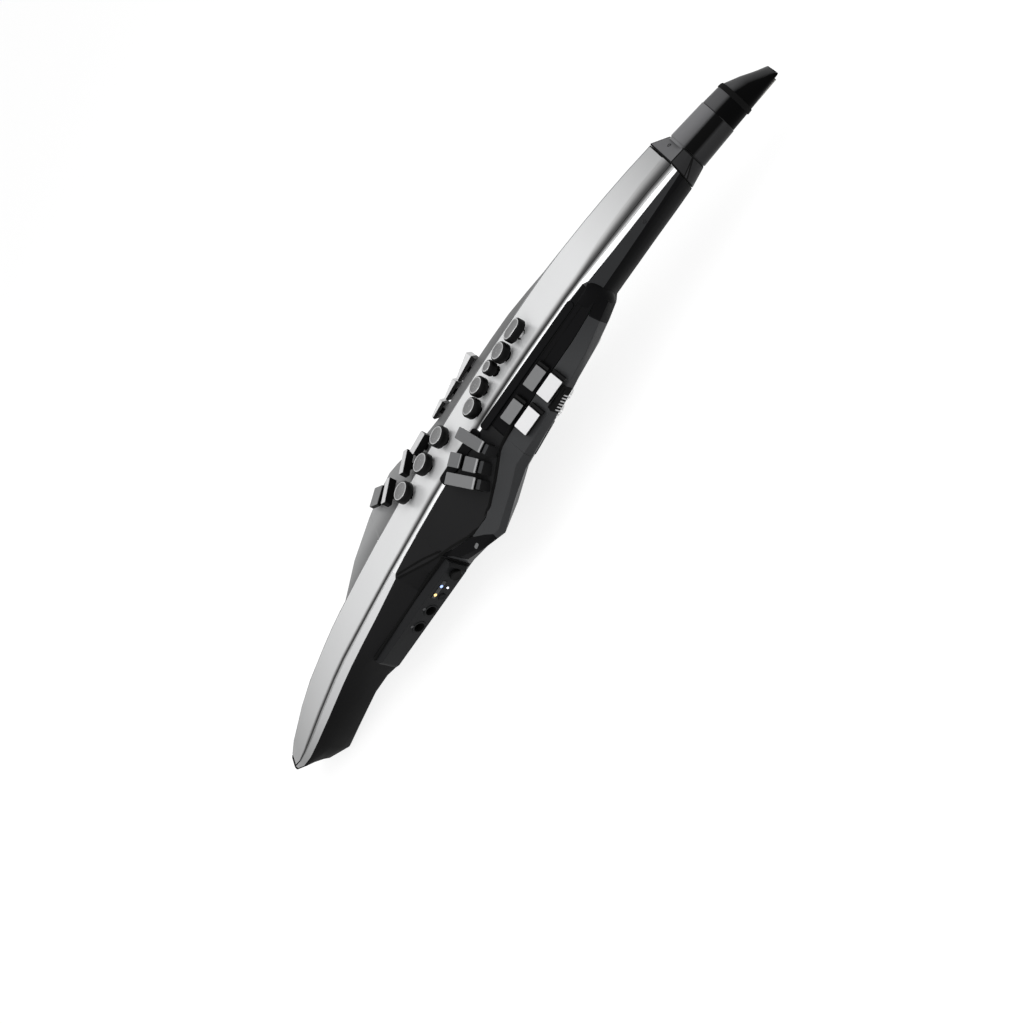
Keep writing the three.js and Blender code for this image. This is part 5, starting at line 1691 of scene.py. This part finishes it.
@dataclass
class JackFittings:
    """Knob, button, sockets and lamps on the jack panel.

    The marks' places, in millimetres, were found by rays like those of the seams in ShellDetails.
    """

    roll: float = 0.568
    knob_spot: Point = (-0.835, 0.365, 0.32)
    button_spot: Point = (-1.035, 0.347, 0.283)
    phones_spot: Point = (-1.165, 0.345, 0.288)
    charge_spot: Point = (-1.315, 0.34, 0.283)
    lamp_spot: Point = (-0.99, 0.362, 0.345)

    knob: Profile = in_mm((2, -7), (2, 0.3), (4.0, 0.3), (4.2, 0.5), (4.2, 2.7), (3.95, 3.1), (3.6, 3.2),
                          (3.4, 3.0), (0.4, 2.9))
    flute_height: float = 1.6 * MM
    flute_rim: float = 0.03 * MM
    flute_depth: float = 0.14 * MM
    button: Profile = in_mm((2.4, -7), (2.4, 0.9), (2.25, 1.2), (2.0, 1.3), (1.6, 1.2), (0.2, 1.1))
    sleeve: Profile = in_mm((4.9, -7.5), (4.9, 0.3), (4.7, 0.5), (3.8, 0.5), (3.6, 0.3), (3.6, -6.6))
    contact: Profile = in_mm((1.2, -6.6), (1.2, -3.2), (1.0, -3.0), (0.3, -2.9))
    bore_edge: float = 3.8 * MM
    bore_foot: float = -6.7 * MM
    window: Point = (15 * MM, 3 * MM, 2.3 * MM)
    lens: Profile = in_mm((1.1, 0.0), (1.1, 0.5), (0.8, 0.75), (0.3, 0.85))
    lamps: tuple[tuple[str, float, Look], ...] = (
        ("lamp_blue_lens", 3 * MM, Look.BLUE), ("lamp_yellow_lens", -4.5 * MM, Look.YELLOW))
    marks: tuple[tuple[str, Point, float, Look], ...] = (
        ("lamp_white", (-95.8, -35.4, 29.0), 0.75, Look.WHITE),
        ("phones_mark", (-116.6, -35.9, 34.6), 1.1, Look.DOT),
        ("charge_mark", (-132.5, -35.1, 33.6), 1.1, Look.DOT))
    mark_normal: Point = (0.0, -0.98, -0.21)

    def placed(self, spot: Point) -> Matrix:
        """The frame of a fitting on the jack panel."""
        return key_place(*spot, self.roll)

    def build_knob(self) -> None:
        """Builds the volume knob with grooves round its side."""
        knob = Bench.turned("volume_knob_cap", self.knob, 48)
        Bench.pick(knob)
        bpy.ops.object.mode_set(mode="EDIT")
        count = 0

        def flute(face: bpy.types.MeshPolygon) -> bool:
            """Every other face of the side."""
            nonlocal count
            side = abs(face.normal.z) < 0.1 and abs(face.center.z - self.flute_height) < 0.4 * MM
            count += side
            return side and count % 2 == 0

        Bench.choose(knob, "FACE", flute)
        bpy.ops.mesh.inset(thickness=self.flute_rim, depth=-self.flute_depth, use_individual=True)
        bpy.ops.object.mode_set(mode="OBJECT")
        Bench.dress(knob, Look.KEY_SIDE)
        Bench.settle(knob, self.placed(self.knob_spot))
        Bench.smooth(knob, 25.0)
        Bench.mount(knob, "volume_knob", "key_grey", "volume_knob")

    def build_socket(self, node: str, spot: Point) -> None:
        """Builds a socket with its contact at the bottom of the bore.

        Args:
            node: The CAD node that it stands for.
            spot: Its place in shares.
        """
        sleeve = Bench.turned(f"{node}_sleeve", self.sleeve, 48)
        Bench.dress(sleeve, Look.JACK, Look.GROOVE)
        Bench.mark(sleeve, 1, lambda middle, normal: middle.xy.length < self.bore_edge
                   and middle.z > self.bore_foot)
        Bench.settle(sleeve, self.placed(spot))
        Bench.mount(sleeve, "body", "rubber_black", node)
        fit(f"{node}_contact", self.contact, 24, Look.SCREW, self.placed(spot), "body", "rubber_black",
            node)

    def build_lamps(self) -> None:
        """Builds the lamp strip with its lenses, the lamp beside it and the printed marks."""
        strip = Bench.plate("lamp_strip_window", self.window, 0.5 * MM, 0.15 * MM, -2 * MM)
        Bench.dress(strip, Look.WINDOW)
        Bench.settle(strip, self.placed(self.lamp_spot))
        Bench.mount(strip, "body", "window_dark", "lamp_strip")
        for name, along, look in self.lamps:
            placing = self.placed(self.lamp_spot) @ Matrix.Translation((along, 0, 0))
            fit(name, self.lens, 24, look, placing, "body", "window_dark")
        for name, spot, radius, look in self.marks:
            rings = in_mm((radius, -1), (radius, 0.2), (radius * 0.8, 0.35), (radius * 0.3, 0.4))
            fit(name, rings, 24, look, surface_place(spot, self.mark_normal), "body", "window_dark")

    def build(self) -> None:
        """Builds every fitting."""
        self.build_knob()
        fit("power_button_cap", self.button, 40, Look.JACK_STEP, self.placed(self.button_spot),
            "power_button", "key_grey", "power_button")
        self.build_socket("phones_jack", self.phones_spot)
        self.build_socket("charge_jack", self.charge_spot)
        self.build_lamps()


@dataclass
class RearFittings:
    """Rollers, thumb rest, hook, strap ring, display, door and pads."""

    rest_shift: Point = (0, 0.6 * MM, 0.95 * MM)
    refined: tuple[tuple[str, str, Look, str, float], ...] = (
        ("octave_roller_up", "octave_roller_up", Look.ROLLER, "metal_bright", 0.3),
        ("octave_roller_down", "octave_roller_down", Look.ROLLER, "metal_bright", 0.3),
        ("thumb_rest", "body", Look.BULGE, "rubber_black", 0.4),
        ("thumb_hook", "thumb_hook", Look.SATIN, "fitting_black", 0.7),
        ("strap_ring", "body", Look.METAL, "metal_bright", 0.2),
        ("display_window", "body", Look.WINDOW, "window_dark", 0.2),
        ("battery_door", "battery_door", Look.SATIN, "fitting_black", 0.3),
        ("menu_button", "menu_button", Look.KEY_TOP, "key_grey", 0.25),
        ("pad_left", "body", Look.RUBBER, "rubber_black", 0.1),
        ("pad_right", "body", Look.RUBBER, "rubber_black", 0.1),
    )

    def build(self) -> None:
        """Builds each fitting from its CAD node."""
        for node, body, look, slot, soft in self.refined:
            piece = Bench.from_node(node, f"{node}_body")
            if node == "thumb_rest":
                Bench.settle(piece, Matrix.Translation(self.rest_shift))
            Bench.soften(piece, soft * MM, 40.0)
            Bench.dress(piece, look)
            Bench.mount(piece, body, slot, node)


@dataclass
class InnerParts:
    """What is inside the shell: only dressed, because the CAD shapes are right."""

    looks: tuple[tuple[str, Look], ...] = (
        ("contact_sheet", Look.RUBBER),
        ("main_board", Look.BOARD),
        ("breath_sensor", Look.SENSOR),
        ("breath_tube", Look.RUBBER),
        ("battery_pack", Look.BATTERY),
        ("speaker", Look.SATIN),
    )

    def build(self) -> None:
        """Dresses each node."""
        for node, look in self.looks:
            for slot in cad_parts[node].material_slots:
                slot.material = Finishes.get(look)
            log.info("%s dressed", node)


@dataclass
class Studio:
    """Pale floor, soft lamps and the camera.

    The camera's place, aim, roll and lens were fitted to points of the photograph.
    """

    location: Point = (0.27564, -0.80618, 0.55354)
    aim: Point = (-0.01799, -0.06025, 0.040)
    roll: float = 35.906
    lens: float = 53.044
    floor_size: float = 12.0
    floor_glow: float = 0.84
    world_light: float = 0.4
    lamp_aim: Point = (0, 0, 0.04)
    lamps: tuple[tuple[str, Point, float, float], ...] = (
        ("overhead_lamp", (0.1, -0.05, 1.3), 1.5, 6.6),
        ("side_lamp", (-0.35, -1.2, 0.9), 0.8, 4.4),
    )

    @staticmethod
    def pale_rays(nodes: Nodes) -> tuple[Wire, Wire]:
        """Whether a ray comes from the camera, and whether from a glossy surface."""
        path = nodes.node("ShaderNodeLightPath", {}, {})
        return Wire(nodes, path.outputs["Is Camera Ray"]), Wire(nodes, path.outputs["Is Glossy Ray"])

    def build_floor(self) -> None:
        """Adds the floor: white to the camera, but for the part's shadow."""
        Bench.pick()
        bpy.ops.mesh.primitive_plane_add(size=self.floor_size)
        floor = Bench.named("floor")
        recipe = Recipe("floor_pale_finish")
        cloud = recipe.noise(0.4)
        recipe.paint("Base Color", recipe.blend(cloud, (0.29, 0.29, 0.29), (0.31, 0.31, 0.31)))
        recipe.paint("Roughness", 0.9)
        recipe.paint("Specular IOR Level", 0.1)
        seen, mirrored = self.pale_rays(recipe)
        strength = (seen + mirrored) * self.floor_glow
        glow = recipe.node("ShaderNodeEmission", {}, {"Color": (1, 1, 1, 1), "Strength": strength})
        added = recipe.node("ShaderNodeAddShader", {}, {})
        recipe.tree.links.new(recipe.shader.outputs[0], added.inputs[0])
        recipe.tree.links.new(glow.outputs[0], added.inputs[1])
        recipe.tree.links.new(added.outputs[0], recipe.output.inputs["Surface"])
        floor.data.materials.append(recipe.material)

    def build_world(self) -> None:
        """Lights the scene softly all round, white behind the part."""
        world = bpy.data.worlds.new("studio_world")
        bpy.context.scene.world = world
        world.use_nodes = True
        nodes = Nodes(world.node_tree)
        back = nodes.tree.nodes["Background"]
        seen, mirrored = self.pale_rays(nodes)
        strength = seen.or_more(mirrored) * (1 - self.world_light) + self.world_light
        back.inputs["Color"].default_value = (1, 1, 1, 1)
        nodes.tree.links.new(strength.socket, back.inputs["Strength"])

    def lamp(self, name: str, spot: Point, size: float, power: float) -> None:
        """Adds a square soft lamp that points at the part.

        Args:
            name: Its name.
            spot: Where it hangs.
            size: Its side.
            power: Its power in watts.
        """
        Bench.pick()
        bpy.ops.object.light_add(type="AREA", location=spot)
        made = bpy.context.active_object
        made.name = name
        made.data.shape = "SQUARE"
        made.data.size = size
        made.data.energy = power
        aim = Vector(self.lamp_aim) - Vector(spot)
        made.rotation_euler = aim.to_track_quat("-Z", "Y").to_euler()

    def build_camera(self) -> None:
        """Adds the camera."""
        Bench.pick()
        bpy.ops.object.camera_add()
        camera = bpy.context.active_object
        camera.name = "photo_camera"
        place, target = Vector(self.location), Vector(self.aim)
        back = (place - target).normalized()
        right = Vector((1, 0, 0)).cross(back).normalized()
        turn = Matrix((right, back.cross(right), back)).transposed().to_4x4()
        roll = Matrix.Rotation(math.radians(self.roll), 4, "Z")
        camera.matrix_world = Matrix.Translation(place) @ turn @ roll
        camera.data.lens = self.lens
        camera.data.sensor_width = 36.0
        camera.data.clip_start = 0.01
        bpy.context.scene.camera = camera

    def build(self) -> None:
        """Sets up the studio."""
        self.build_camera()
        self.build_floor()
        self.build_world()
        for lamp in self.lamps:
            self.lamp(*lamp)
        bpy.context.scene.view_settings.view_transform = "Standard"


def main() -> None:
    """Builds the studio and the part."""
    logging.basicConfig(level=logging.INFO, format="%(message)s")
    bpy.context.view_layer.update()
    Studio().build()
    for part in (Shell(), ShellDetails(), FrontKeys(), FlankKeys(), PinkyKeys(), MouthEnd(),
                 JackFittings(), RearFittings(), InnerParts()):
        part.build()
        log.info("%s done", type(part).__name__)
    Bench.pick()


if __name__ == "__main__":
    main()
